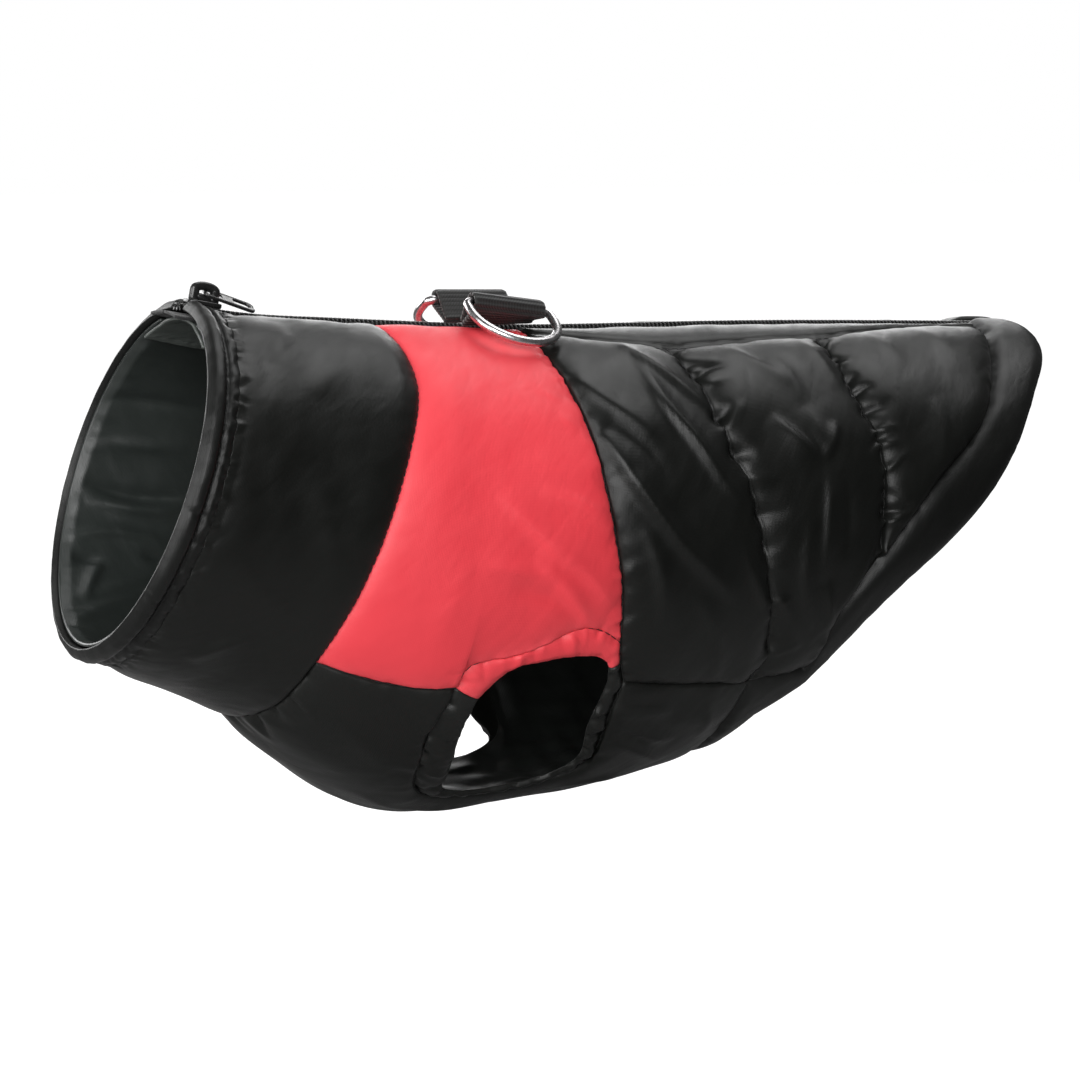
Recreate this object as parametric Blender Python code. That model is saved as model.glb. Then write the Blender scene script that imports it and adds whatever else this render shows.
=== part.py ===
# Dog coat: a padded vest with a zip along the back, two D-rings and a bound hem.
# Metres, +Z up, +X towards the tail, the wearer's left side towards -Y.
# The origin is the inside of the back, on the centre plane, at the withers.
# Tables and constants are in millimetres and are scaled once, by MM.
# A place on the coat is (x, v): x runs along the zip line, and v runs round the
# body from the zip (0) down the left side to the middle of the belly (1).
# On the right side v is mirrored, or runs on from 1 to 2 on pieces that cross the belly.

from collections import namedtuple

import bmesh
import bpy
import numpy as np

MM = 0.001
HALF_GIRTH = 205.0      # one unit of v, as a length, for spacing points
SEAM_GAP = 0.22         # each piece stops this far short of its seam line

# Body form
# One row is one slanted ring of the inner surface. lean is how far the belly side of
# the ring lies in front of its zip side, and egg makes the upper part the wider one.

Ring = namedtuple("Ring", "x_zip z_zip z_belly lean half_width egg")
RINGS = [
    Ring(-107.0, 10.0, -90.5, -35.0, 49.5, 0.04),
    Ring(-82.0, 5.8, -100.5, -35.0, 47.5, 0.03),
    Ring(-62.0, 4.2, -111.0, -35.0, 48.0, 0.03),
    Ring(-45.0, 3.0, -127.0, -32.0, 51.0, 0.04),
    Ring(-25.0, 1.6, -145.0, -24.0, 54.0, 0.05),
    Ring(0.0, 0.0, -150.5, -14.0, 56.0, 0.07),
    Ring(40.0, -1.0, -146.5, -4.0, 58.0, 0.08),
    Ring(90.0, -1.6, -136.5, -1.0, 58.0, 0.08),
    Ring(140.0, -3.0, -119.0, 0.0, 56.5, 0.06),
    Ring(206.0, -5.4, -98.0, 0.0, 50.5, 0.04),
]

# Seam lines
# Each list gives places (x, v) along one seam, in order.

ZIP_HALF = 4.6          # from the centre plane to the cut edge beside the zip
NECK_X = -106.5         # neck rim
RIM_BAND = 9.6          # width of the rim binding
COLLAR_SEAM = [(-44.0, 0.0), (-40.5, 0.145), (-39.0, 0.225), (-41.5, 0.32), (-44.5, 0.415),
               (-47.0, 0.505), (-49.5, 0.60), (-52.0, 0.70), (-53.5, 0.80), (-56.0, 0.915),
               (-58.0, 1.0)]
SHOULDER_SEAM = [(7.5, 0.0), (7.5, 0.13), (12.3, 0.275), (18.3, 0.44), (21.8, 0.54),
                 (22.6, 0.584), (24.0, 0.614), (26.5, 0.647)]
CHEST_SEAM = [(-52.0, 0.70), (-40.0, 0.677), (-24.6, 0.647), (-20.6, 0.640)]
SIDE_SEAM = [(26.5, 0.647), (52.0, 0.677), (72.5, 0.700)]
BACK_STRIP = [(7.5, 0.058), (21.0, 0.083), (54.0, 0.125), (81.0, 0.118), (126.0, 0.098),
              (143.0, 0.078), (165.0, 0.062), (184.0, 0.058)]
QUILT_FRONT = [(52.0, 0.125), (54.8, 0.215), (60.0, 0.34), (65.5, 0.415), (70.0, 0.52),
               (74.5, 0.613), (75.5, 0.665), (72.5, 0.70)]
QUILT_REAR = [(111.5, 0.105), (110.5, 0.24), (112.5, 0.30), (114.5, 0.36), (114.7, 0.43),
              (112.6, 0.545)]
HEM_SEAM = [(184.0, 0.026), (182.5, 0.08), (176.0, 0.17), (166.5, 0.27), (154.6, 0.357),
            (128.5, 0.462), (114.6, 0.533), (99.5, 0.61), (93.7, 0.71)]
HEM_SEAM_CORNER = [(93.7, 0.71), (83.5, 0.708), (72.5, 0.70)]
HEM_SEAM_BELLY = [(72.5, 0.70), (71.0, 0.76), (70.0, 0.84), (69.3, 0.92), (69.0, 1.0)]
HEM_EDGE = [(206.0, 0.026), (204.0, 0.10), (196.0, 0.21), (186.0, 0.285), (177.0, 0.356),
            (158.5, 0.482), (138.0, 0.567), (119.0, 0.630), (107.0, 0.690), (97.5, 0.755)]
HEM_EDGE_CORNER = [(97.5, 0.755), (90.0, 0.787), (83.5, 0.815)]
HEM_EDGE_BELLY = [(83.5, 0.815), (80.8, 0.855), (79.4, 0.90), (78.8, 0.95), (78.6, 1.0)]

# Armhole hem, as pairs of places on its free edge and on its seam
Hem = namedtuple("Hem", "edge_x edge_v seam_x seam_v")
HEM_RED = [
    Hem(-14.8, 0.650, -20.6, 0.640),
    Hem(-11.0, 0.620, -18.5, 0.606),
    Hem(-7.0, 0.602, -12.0, 0.592),
    Hem(-1.0, 0.595, -4.0, 0.581),
    Hem(5.0, 0.590, 4.0, 0.565),
    Hem(12.0, 0.590, 12.0, 0.557),
    Hem(17.5, 0.597, 18.5, 0.569),
    Hem(19.6, 0.607, 22.6, 0.584),
]
HEM_RED_END = [
    Hem(19.6, 0.607, 22.6, 0.584),
    Hem(20.2, 0.617, 24.0, 0.614),
]
HEM_BLACK_REAR = [
    Hem(20.2, 0.617, 24.0, 0.614),
    Hem(20.8, 0.640, 26.5, 0.647),
]
HEM_BLACK = [
    Hem(20.8, 0.640, 26.5, 0.647),
    Hem(19.0, 0.680, 25.4, 0.685),
    Hem(19.0, 0.720, 25.4, 0.730),
    Hem(20.0, 0.768, 25.8, 0.790),
    Hem(18.5, 0.805, 22.5, 0.834),
    Hem(13.0, 0.828, 14.5, 0.857),
    Hem(5.0, 0.845, 5.0, 0.874),
    Hem(-4.0, 0.852, -6.0, 0.881),
    Hem(-11.5, 0.840, -15.5, 0.868),
    Hem(-14.6, 0.800, -20.2, 0.824),
    Hem(-15.4, 0.748, -22.0, 0.760),
    Hem(-15.8, 0.695, -22.6, 0.700),
    Hem(-14.8, 0.650, -20.6, 0.640),
]

RED_NODES = 14          # points along each part of the armhole's seam, so that
BLACK_NODES = 25        # the pieces on both sides of it share them

# Thickness of the padded walls, at the seams and at the fullest place between them

Wall = namedtuple("Wall", "seam full")
COLLAR_WALL = Wall(2.2, 4.4)
YOKE_WALL = Wall(1.9, 4.0)
STRIP_WALL = Wall(1.8, 2.6)
QUILT_WALL = Wall(1.7, 5.4)
UNDERSIDE_WALL = Wall(2.0, 4.0)
BRIDGE_WALL = Wall(2.0, 2.8)

# A binding turned over an edge: how far across it, and the two heights there

Roll = namedtuple("Roll", "across outside inside")
BINDING = [
    Roll(0.0, 1.5, 0.0),
    Roll(0.12, 3.1, 0.0),
    Roll(0.38, 4.1, 0.0),
    Roll(0.68, 3.9, 0.0),
    Roll(0.90, 2.8, 0.3),
    Roll(1.0, 1.3, 0.7),
]
ARM_BINDING = [
    Roll(0.0, 1.4, 0.0),
    Roll(0.18, 2.6, 0.0),
    Roll(0.55, 3.1, 0.0),
    Roll(0.86, 2.4, 0.2),
    Roll(1.0, 1.2, 0.6),
]

# Lining and zip, by distance from the inner surface

LINING = Wall(-0.55, -1.45)
LINING_END = -62.0
LINING_V = 0.098
FACING_IN = -1.75
FACING_OUT = -2.65
FACING_EDGES = (1.4, 15.0)      # distance of its long edges from the centre plane
FACING_X = (-105.0, -60.0)
TAPE_HEIGHTS = (-1.35, -0.45)
TAPE_EDGES = (0.25, 10.5)
TAPE_X = (-110.5, 205.0)
COIL_X = (-107.0, 201.5)
COIL_HALF_WIDTH = 2.8
COIL_HEIGHTS = (-0.1, 2.3)

# Slider and its pull, in the slider's own frame: along the zip, across it, and up

SLIDER_X = -98.6
SLIDER_PITCH = 11.0
SLIDER_LENGTH = 11.5
SLIDER_HALF_WIDTH = 4.2
SLIDER_FLANGE = 1.05
SLIDER_HEIGHTS = (0.5, 2.75, 4.3)       # flange foot, underside of the plate, top
BAIL_WIRE = 1.9
BAIL_LENGTH = 8.6
BAIL_RISE = 5.2
PULL_PITCH = 22.0
PULL_LENGTH = 17.2
PULL_HALF_WIDTH = 2.9
PULL_THICKNESS = 0.9
PULL_BAR = 1.1
PULL_LOOP = 5.6
PULL_SLOT = (9.6, 15.6)

# Webbing tabs and D-rings
# The tab is a loop of webbing: root beside the zip, fold round the ring's bar.

Tab = namedtuple("Tab", "side pitch bar_z")
TABS = [
    Tab("left", 8.0, 9.0),
    Tab("right", 1.5, 9.8),
]
TAB_WIDTH = 25.0
TAB_THICKNESS = 1.35
TAB_ROOT = (5.9, 3.9)       # distance from the centre plane, and height
BAR_Y = 13.2
RING_WIRE = 2.6
RING_WIDTH = 29.8           # between the centre lines of its two arms
RING_DEPTH = 20.4           # from the bar's centre line to the far end's
RING_CORNER = 3.0
RING_REST = 30.0            # degrees below level


# Curves and surface

def spline(knots, values, at):
    """Natural cubic through the values, straight on beyond the ends."""
    knots = np.asarray(knots, float)
    values = np.asarray(values, float)
    at = np.asarray(at, float)
    count = len(knots)
    step = np.diff(knots)
    matrix = np.eye(count)
    right = np.zeros(count)
    for i in range(1, count - 1):
        matrix[i, i - 1:i + 2] = step[i - 1], 2 * (step[i - 1] + step[i]), step[i]
        rise = (values[i + 1] - values[i]) / step[i]
        right[i] = 6 * (rise - (values[i] - values[i - 1]) / step[i - 1])
    bend = np.linalg.solve(matrix, right)
    i = np.clip(np.searchsorted(knots, at) - 1, 0, count - 2)
    a = (knots[i + 1] - at) / step[i]
    b = (at - knots[i]) / step[i]
    curve = ((a ** 3 - a) * bend[i] + (b ** 3 - b) * bend[i + 1]) * step[i] ** 2 / 6
    return a * values[i] + b * values[i + 1] + curve


def ring_value(column, x):
    return spline([ring.x_zip for ring in RINGS], [getattr(ring, column) for ring in RINGS], x)


def inner_surface(x, v):
    x, v = np.broadcast_arrays(np.asarray(x, float), np.asarray(v, float))
    across = ring_value("half_width", x) * (1 + ring_value("egg", x) * np.cos(np.pi * v))
    down = (1 - np.cos(np.pi * v)) / 2
    z_zip = ring_value("z_zip", x)
    z = z_zip + (ring_value("z_belly", x) - z_zip) * down
    return np.stack([x + ring_value("lean", x) * down, -across * np.sin(np.pi * v), z], -1)


def outward(x, v):
    small = 0.001
    along = inner_surface(x + 100 * small, v) - inner_surface(x - 100 * small, v)
    around = inner_surface(x, v + small) - inner_surface(x, v - small)
    normal = np.cross(around, along)
    return normal / np.linalg.norm(normal, axis=-1, keepdims=True)


def at_height(places, height):
    """Points at a height over the inner surface, for an array of places (x, v)."""
    x, v = places[..., 0], places[..., 1]
    return inner_surface(x, v) + outward(x, v) * np.asarray(height)[..., None]


def beside_zip(x, distance):
    """The v whose distance from the centre plane is the one given."""
    reach = ring_value("half_width", x) * (1 + ring_value("egg", x))
    return np.arcsin(distance / reach) / np.pi


def measure(places):
    """Lengths along a run of places, from 0."""
    scaled = np.asarray(places, float) * [1.0, HALF_GIRTH]
    steps = np.linalg.norm(np.diff(scaled, axis=0), axis=1)
    return np.concatenate([[0.0], np.cumsum(steps)])


def along(places, fractions):
    """Places at fractions of the length of a smooth line through the given ones."""
    places = np.asarray(places, float)
    length = measure(places)
    at = np.asarray(fractions) * length[-1]
    return np.stack([spline(length, places[:, k], at) for k in range(2)], -1)


def join(*runs):
    """One run from several that meet end to end."""
    return np.concatenate([runs[0]] + [run[1:] for run in runs[1:]])


def even(count):
    return np.linspace(0.0, 1.0, count)


def eased(count):
    """Fractions from 0 to 1 that are closer together at both ends."""
    line = np.linspace(-1.0, 1.0, count)
    return 0.5 + 0.5 * np.sin(line * np.pi / 2) * 0.7 + 0.15 * line


BELLY_ROWS = 1 - (1 - even(8)) ** 1.15


def at_v(line, v):
    """x of a seam line that is a function of v."""
    rows = np.asarray(line, float)
    return spline(rows[:, 1], rows[:, 0], v)


def at_x(line, x):
    rows = np.asarray(line, float)
    return spline(rows[:, 0], rows[:, 1], x)


def seam_by_v(line, start, end, fractions):
    v = start + (end - start) * np.asarray(fractions)
    return np.stack([at_v(line, v), v], -1)


def seam_by_x(line, start, end, fractions):
    x = start + (end - start) * np.asarray(fractions)
    return np.stack([x, at_x(line, x)], -1)


def zip_edge(start, end, fractions):
    x = start + (end - start) * np.asarray(fractions)
    return np.stack([x, beside_zip(x, ZIP_HALF)], -1)


# Patches of cloth

def fill(top, bottom, front, rear):
    """Grid of places between four seam lines. top and bottom run front to rear,
    front and rear run top to bottom. Also returns the two fractions at each place."""
    s = (measure(top) / measure(top)[-1] + measure(bottom) / measure(bottom)[-1]) / 2
    t = (measure(front) / measure(front)[-1] + measure(rear) / measure(rear)[-1]) / 2
    s = s[:, None, None]
    t = t[None, :, None]
    across = (1 - t) * top[:, None] + t * bottom[:, None]
    down = (1 - s) * front[None] + s * rear[None]
    corners = ((1 - s) * ((1 - t) * top[0] + t * bottom[0])
               + s * ((1 - t) * top[-1] + t * bottom[-1]))
    grid = across + down - corners
    return grid, s[..., 0] + 0 * t[..., 0], t[..., 0] + 0 * s[..., 0]


def pillow(s, t, wall):
    """Wall thickness that falls to the seam's on all four sides."""
    rise = (1 - np.abs(2 * s - 1) ** 3) * (1 - np.abs(2 * t - 1) ** 4)
    return wall.seam + (wall.full - wall.seam) * np.sqrt(np.maximum(rise, 0.0))


def trim(grid, gap=SEAM_GAP):
    """Draw the four edges of a grid in from their seam lines."""
    flat = grid * [1.0, HALF_GIRTH]
    moved = flat.copy()
    for axis in range(2):
        rows = np.moveaxis(flat, axis, 0)
        target = np.moveaxis(moved, axis, 0)
        for edge, inside in ((0, 1), (-1, -2)):
            tangent = np.gradient(rows[edge], axis=0)
            normal = np.stack([-tangent[:, 1], tangent[:, 0]], -1)
            normal /= np.linalg.norm(normal, axis=-1, keepdims=True)
            inward = np.sign(((rows[inside] - rows[edge]) * normal).sum())
            target[edge] += normal * inward * gap
    return moved / [1.0, HALF_GIRTH]


def mirror_places(grid):
    """The same places on the other side of the belly's middle line."""
    return grid * [1.0, -1.0] + [0.0, 2.0]


# Solids

def add_mesh(name, points, faces, material):
    mesh = bpy.data.meshes.new(name)
    mesh.from_pydata([tuple(point) for point in np.asarray(points) * MM], [], faces)
    shape = bmesh.new()
    shape.from_mesh(mesh)
    bmesh.ops.recalc_face_normals(shape, faces=shape.faces)
    shape.to_mesh(mesh)
    shape.free()
    mesh.materials.append(material)
    thing = bpy.data.objects.new(name, mesh)
    bpy.context.scene.collection.objects.link(thing)
    return thing


def wall_solid(name, outside, inside, material):
    """Closed solid between two grids of points, with a wall round their rim."""
    rows, columns = outside.shape[:2]
    count = rows * columns
    index = np.arange(count).reshape(rows, columns)
    faces = []
    for i in range(rows - 1):
        for j in range(columns - 1):
            quad = [index[i, j], index[i + 1, j], index[i + 1, j + 1], index[i, j + 1]]
            faces.append([int(k) for k in quad])
            faces.append([int(k) + count for k in reversed(quad)])
    rim = list(index[0, :]) + list(index[1:, -1])
    rim += list(index[-1, -2::-1]) + list(index[-2:0:-1, 0])
    for here, there in zip(rim, rim[1:] + rim[:1]):
        faces.append([int(here), int(there), int(there) + count, int(here) + count])
    points = np.concatenate([outside.reshape(-1, 3), inside.reshape(-1, 3)])
    return add_mesh(name, points, faces, material)


def cloth_wall(name, grid, outside, inside, material, side="left"):
    out = at_height(grid, outside)
    back = at_height(grid, inside)
    if side == "right":
        out = out * [1, -1, 1]
        back = back * [1, -1, 1]
    return wall_solid(name, out, back, material)


def binding_solid(name, seam, edge, rolls, material, side="left", fullness=1.0):
    """A binding between its seam line and the free edge that it covers."""
    across = np.array([roll.across for roll in rolls])[:, None, None]
    grid = trim((1 - across) * seam[None] + across * edge[None])
    outside = np.array([roll.outside for roll in rolls])[:, None] * fullness + 0 * grid[..., 0]
    inside = np.array([roll.inside for roll in rolls])[:, None] + 0 * grid[..., 0]
    return cloth_wall(name, grid, outside, inside, material, side)


def extrude_section(name, section, start, end, place, material):
    """Closed section of (y, z) points drawn from x = start to x = end."""
    count = len(section)
    points = [(x, y, z) for x in (start, end) for y, z in section]
    faces = [list(range(count))[::-1], list(range(count, 2 * count))]
    for i in range(count):
        j = (i + 1) % count
        faces.append([i, j, j + count, i + count])
    return add_mesh(name, place(np.array(points)), faces, material)


def wire(name, points, diameter, closed, material):
    """Round wire through points."""
    curve = bpy.data.curves.new(name, "CURVE")
    curve.dimensions = "3D"
    curve.bevel_depth = diameter / 2 * MM
    curve.bevel_resolution = 3
    curve.use_fill_caps = True
    run = curve.splines.new("POLY")
    run.points.add(len(points) - 1)
    for slot, point in zip(run.points, points):
        slot.co = (point[0] * MM, point[1] * MM, point[2] * MM, 1.0)
    run.use_cyclic_u = closed
    curve.materials.append(material)
    thing = bpy.data.objects.new(name, curve)
    bpy.context.scene.collection.objects.link(thing)
    return thing


def pitched(origin, degrees):
    """Placing function: turn about Y so that the far end goes down, then move."""
    angle = np.radians(degrees)
    turn = np.array([[np.cos(angle), 0, np.sin(angle)], [0, 1, 0],
                     [-np.sin(angle), 0, np.cos(angle)]])
    return lambda points: np.asarray(points, float) @ turn.T + np.asarray(origin, float)


# Materials

def material(name, colour, roughness, metallic=0.0):
    made = bpy.data.materials.new(name)
    made.use_nodes = True
    shader = made.node_tree.nodes["Principled BSDF"]
    shader.inputs["Base Color"].default_value = (*colour, 1.0)
    shader.inputs["Roughness"].default_value = roughness
    shader.inputs["Metallic"].default_value = metallic
    return made


# Pieces

def make_collar():
    rows = eased(7)
    count = 47
    v = np.linspace(0.0, 1.0, count)
    edge_front = beside_zip(NECK_X + RIM_BAND, ZIP_HALF)
    edge_rear = beside_zip(COLLAR_SEAM[0][0], ZIP_HALF)
    grid = np.zeros((len(rows), count, 2))
    for i, s in enumerate(rows):
        edge = edge_front + (edge_rear - edge_front) * s
        round_v = edge + (2 - 2 * edge) * v
        seam_x = at_v(COLLAR_SEAM, np.minimum(round_v, 2 - round_v))
        start_x = NECK_X + RIM_BAND
        grid[i, :, 0] = start_x + (seam_x - start_x) * s
        grid[i, :, 1] = round_v
    s = rows[:, None] + 0 * v[None]
    t = v[None] + 0 * rows[:, None]
    rise = (1 - np.abs(2 * s - 1) ** 3) * (1 - np.abs(2 * t - 1) ** 24)
    thick = COLLAR_WALL.seam + (COLLAR_WALL.full - COLLAR_WALL.seam) * np.sqrt(rise)
    cloth_wall("collar", trim(grid), thick, 0 * thick, material("collar", (0.03, 0.03, 0.032), 0.5))


def make_neck_trim():
    around = even(49)
    edge = beside_zip(NECK_X, ZIP_HALF)
    v = edge + (2 - 2 * edge) * around
    rim = np.stack([np.full_like(v, NECK_X), v], -1)
    edge = beside_zip(NECK_X + RIM_BAND, ZIP_HALF)
    v = edge + (2 - 2 * edge) * around
    seam = np.stack([np.full_like(v, NECK_X + RIM_BAND), v], -1)
    black = material("collar_binding", (0.028, 0.028, 0.03), 0.5)
    binding_solid("collar_binding", seam, rim, BINDING, black)
    v = LINING_V + (2 - 2 * LINING_V) * even(41)
    x = NECK_X + 1.5 + (LINING_END - NECK_X - 1.5) * even(6)
    grid = np.stack(np.meshgrid(x, v, indexing="ij"), -1)
    near = np.full(grid.shape[:2], LINING.seam)
    far = np.full(grid.shape[:2], LINING.full)
    cloth_wall("collar_lining", grid, near, far, material("collar_lining", (0.02, 0.021, 0.022), 0.3))
    for side in ("left", "right"):
        x = FACING_X[0] + (FACING_X[1] - FACING_X[0]) * even(7)
        v = [beside_zip(x, FACING_EDGES[0] + (FACING_EDGES[1] - FACING_EDGES[0]) * k) for k in even(4)]
        grid = np.stack([x[:, None] + 0 * np.array(v).T, np.array(v).T], -1)
        shape = grid.shape[:2]
        pale = material("zip_facing_" + side, (0.16, 0.165, 0.16), 0.45)
        cloth_wall("zip_facing_" + side, grid, np.full(shape, FACING_IN),
                   np.full(shape, FACING_OUT), pale, side)


def hem_line(rows, which, fractions):
    places = [(row.edge_x, row.edge_v) if which == "edge" else (row.seam_x, row.seam_v)
              for row in rows]
    return along(places, fractions)


def make_yoke(side):
    red = material("yoke_" + side, (0.78, 0.085, 0.11), 0.5)
    down = eased(15)
    lower = join(along(CHEST_SEAM, even(6)), hem_line(HEM_RED, "seam", even(RED_NODES)))
    top = zip_edge(COLLAR_SEAM[0][0], SHOULDER_SEAM[0][0], measure(lower) / measure(lower)[-1])
    front = seam_by_v(COLLAR_SEAM, top[0, 1], lower[0, 1], down)
    rear = seam_by_v(SHOULDER_SEAM, top[-1, 1], lower[-1, 1], down)
    top[0] = front[0]
    top[-1] = rear[0]
    lower[0] = front[-1]
    lower[-1] = rear[-1]
    grid, s, t = fill(top, lower, front, rear)
    thick = pillow(s, t, YOKE_WALL)
    cloth_wall("yoke_" + side, trim(grid), thick, 0 * thick, red, side)


def hem_marks():
    """Fractions of the hem's seam at the zip strip's corner and on both sides of the
    rear quilt seam."""
    lengths = measure(HEM_SEAM) / measure(HEM_SEAM)[-1]
    return 0.035, lengths[-3], lengths[-3] + 0.014


def hem_side_fractions():
    strip_end, quilt_tip, quilt_end = hem_marks()
    upper = strip_end + (quilt_tip - strip_end) * eased(13)
    lower = quilt_end + (1.0 - quilt_end) * even(5)
    return np.concatenate([[0.0], upper, lower])


def make_back(side):
    down = eased(13)
    columns = eased(7)
    strip_rows = even(4)
    spans = [(SHOULDER_SEAM[0][0], 52.0), (52.0, 111.5), (111.5, 184.0)]
    strip_end, quilt_tip, quilt_end = hem_marks()

    def quilt_rear(start):
        run = seam_by_v(QUILT_REAR, start, QUILT_REAR[-1][1], down)
        tip = along(HEM_SEAM, quilt_end) - run[-1]
        return run + tip * down[:, None] ** 3

    strips = []
    quilts = []
    heights = []
    strip_heights = []
    for number, (start, end) in enumerate(spans):
        zip_line = zip_edge(start, end, columns)
        line = seam_by_x(BACK_STRIP, start, end, columns)
        if number == 0:
            front = seam_by_v(SHOULDER_SEAM, line[0, 1], SHOULDER_SEAM[-1][1], down)
            rear = seam_by_v(QUILT_FRONT, line[-1, 1], QUILT_FRONT[-1][1], down)
            bottom = along(SIDE_SEAM, columns)
        elif number == 1:
            front = seam_by_v(QUILT_FRONT, line[0, 1], QUILT_FRONT[-1][1], down)
            rear = quilt_rear(line[-1, 1])
            corner = along(HEM_SEAM_CORNER, even(3))[::-1]
            hem = along(HEM_SEAM, hem_side_fractions()[-5:][::-1])
            bottom = join(corner, hem)
        else:
            front = quilt_rear(line[0, 1])
            rear = along(HEM_SEAM, strip_end + (quilt_tip - strip_end) * down)
            bottom = front[-1] + (rear[-1] - front[-1]) * columns[:, None]
        front[0] = line[0]
        line[-1] = rear[0]
        bottom[0] = front[-1]
        bottom[-1] = rear[-1]
        grid, s, t = fill(line, bottom, front, rear)
        height = pillow(s, t, QUILT_WALL)
        strip = zip_line[:, None] + (line - zip_line)[:, None] * strip_rows[None, :, None]
        rise = np.sqrt(1 - np.abs(2 * strip_rows - 1) ** 3)
        strip_height = STRIP_WALL.seam + (STRIP_WALL.full - STRIP_WALL.seam) * rise
        keep = slice(0 if number == 0 else 1, None)
        quilts.append(grid[keep])
        strips.append(strip[keep])
        heights.append(height[keep])
        strip_heights.append((strip_height[None] + 0 * strip[..., 0])[keep])
    quilt = np.concatenate(quilts)
    strip = np.concatenate(strips)
    grid = np.concatenate([strip, quilt[:, 1:]], axis=1)
    thick = np.concatenate([np.concatenate(strip_heights), np.concatenate(heights)[:, 1:]], axis=1)
    black = material("back_" + side, (0.045, 0.045, 0.042), 0.48)
    cloth_wall("back_" + side, trim(grid), thick, 0 * thick, black, side)


def make_underside():
    side_line = join(
        along(CHEST_SEAM, even(5)),
        hem_line(HEM_BLACK, "seam", even(BLACK_NODES))[::-1],
        along(SIDE_SEAM, even(7)),
    )
    parts = [(-58.0, -37.0, 4), (-37.0, 41.0, BLACK_NODES - 1), (41.0, 69.0, 6)]
    runs = [np.linspace(start, end, count + 1) for start, end, count in parts]
    middle_x = join(*runs)
    middle = np.stack([middle_x, np.ones_like(middle_x)], -1)
    down = BELLY_ROWS
    front = seam_by_v(COLLAR_SEAM, CHEST_SEAM[0][1], 1.0, down)
    rear = along(HEM_SEAM_BELLY, down)
    front[0] = side_line[0]
    rear[0] = side_line[-1]
    middle[0] = front[-1]
    middle[-1] = rear[-1]
    grid, s, t = fill(side_line, middle, front, rear)
    edge = 1 - (1 - t) ** 4
    ends = 1 - np.abs(2 * s - 1) ** 6
    narrow = np.exp(-((s - 0.47) / 0.16) ** 2)
    full = UNDERSIDE_WALL.full + (BRIDGE_WALL.full - UNDERSIDE_WALL.full) * narrow
    thick = UNDERSIDE_WALL.seam + (full - UNDERSIDE_WALL.seam) * np.sqrt(edge * ends)
    grid = np.concatenate([grid, mirror_places(grid)[:, -2::-1]], axis=1)
    thick = np.concatenate([thick, thick[:, -2::-1]], axis=1)
    black = material("underside", (0.033, 0.033, 0.032), 0.5)
    cloth_wall("underside", trim(grid), thick, 0 * thick, black)


def make_armhole_hem(side):
    edge = join(hem_line(HEM_RED, "edge", even(RED_NODES)), hem_line(HEM_RED_END, "edge", even(2)))
    seam = join(hem_line(HEM_RED, "seam", even(RED_NODES)), hem_line(HEM_RED_END, "seam", even(2)))
    red = material("armhole_red_" + side, (0.72, 0.075, 0.10), 0.5)
    binding_solid("armhole_red_" + side, seam, edge, ARM_BINDING, red, side)
    edge = join(hem_line(HEM_BLACK_REAR, "edge", even(2)),
                hem_line(HEM_BLACK, "edge", even(BLACK_NODES)))
    seam = join(hem_line(HEM_BLACK_REAR, "seam", even(2)),
                hem_line(HEM_BLACK, "seam", even(BLACK_NODES)))
    black = material("armhole_black_" + side, (0.035, 0.035, 0.033), 0.5)
    binding_solid("armhole_black_" + side, seam, edge, ARM_BINDING, black, side)


def make_hem():
    sides = hem_side_fractions()
    seam = join(along(HEM_SEAM, sides), along(HEM_SEAM_CORNER, even(3)),
                along(HEM_SEAM_BELLY, BELLY_ROWS))
    edge = join(along(HEM_EDGE, sides), along(HEM_EDGE_CORNER, even(3)),
                along(HEM_EDGE_BELLY, BELLY_ROWS))
    seam = np.concatenate([seam, mirror_places(seam)[-2::-1]])
    edge = np.concatenate([edge, mirror_places(edge)[-2::-1]])
    belly = np.clip((np.minimum(seam[:, 1], 2 - seam[:, 1]) - 0.58) / 0.12, 0.0, 1.0)
    black = material("hem_binding", (0.045, 0.045, 0.046), 0.5)
    binding_solid("hem_binding", seam, edge, BINDING, black, fullness=1.0 - 0.35 * belly)


def make_zip():
    for side in ("left", "right"):
        x = TAPE_X[0] + (TAPE_X[1] - TAPE_X[0]) * even(34)
        v = np.stack([beside_zip(x, edge) for edge in TAPE_EDGES], -1)
        grid = np.stack([x[:, None] + 0 * v, v], -1)
        shape = grid.shape[:2]
        black = material("zip_tape_" + side, (0.02, 0.02, 0.02), 0.8)
        cloth_wall("zip_tape_" + side, grid, np.full(shape, TAPE_HEIGHTS[1]),
                   np.full(shape, TAPE_HEIGHTS[0]), black, side)
    x = COIL_X[0] + (COIL_X[1] - COIL_X[0]) * even(48)
    low, high = COIL_HEIGHTS
    rolls = [(-1.0, low + 0.5, low), (-0.72, high - 0.35, low), (0.0, high, low),
             (0.72, high - 0.35, low), (1.0, low + 0.5, low)]
    base = inner_surface(x, 0 * x)
    outside = [base + np.array([0, COIL_HALF_WIDTH * y, up]) for y, up, _ in rolls]
    inside = [base + np.array([0, COIL_HALF_WIDTH * y, foot]) for y, _, foot in rolls]
    wall_solid("zip_coil", np.stack(outside), np.stack(inside), material("zip_coil", (0.03, 0.03, 0.03), 0.4))


def slider_place(pitch=SLIDER_PITCH, lift=(0.0, 0.0, 0.0)):
    base = inner_surface(SLIDER_X, 0.0)
    centre = pitched(base, SLIDER_PITCH)([lift])[0]
    return pitched(centre, pitch)


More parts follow.
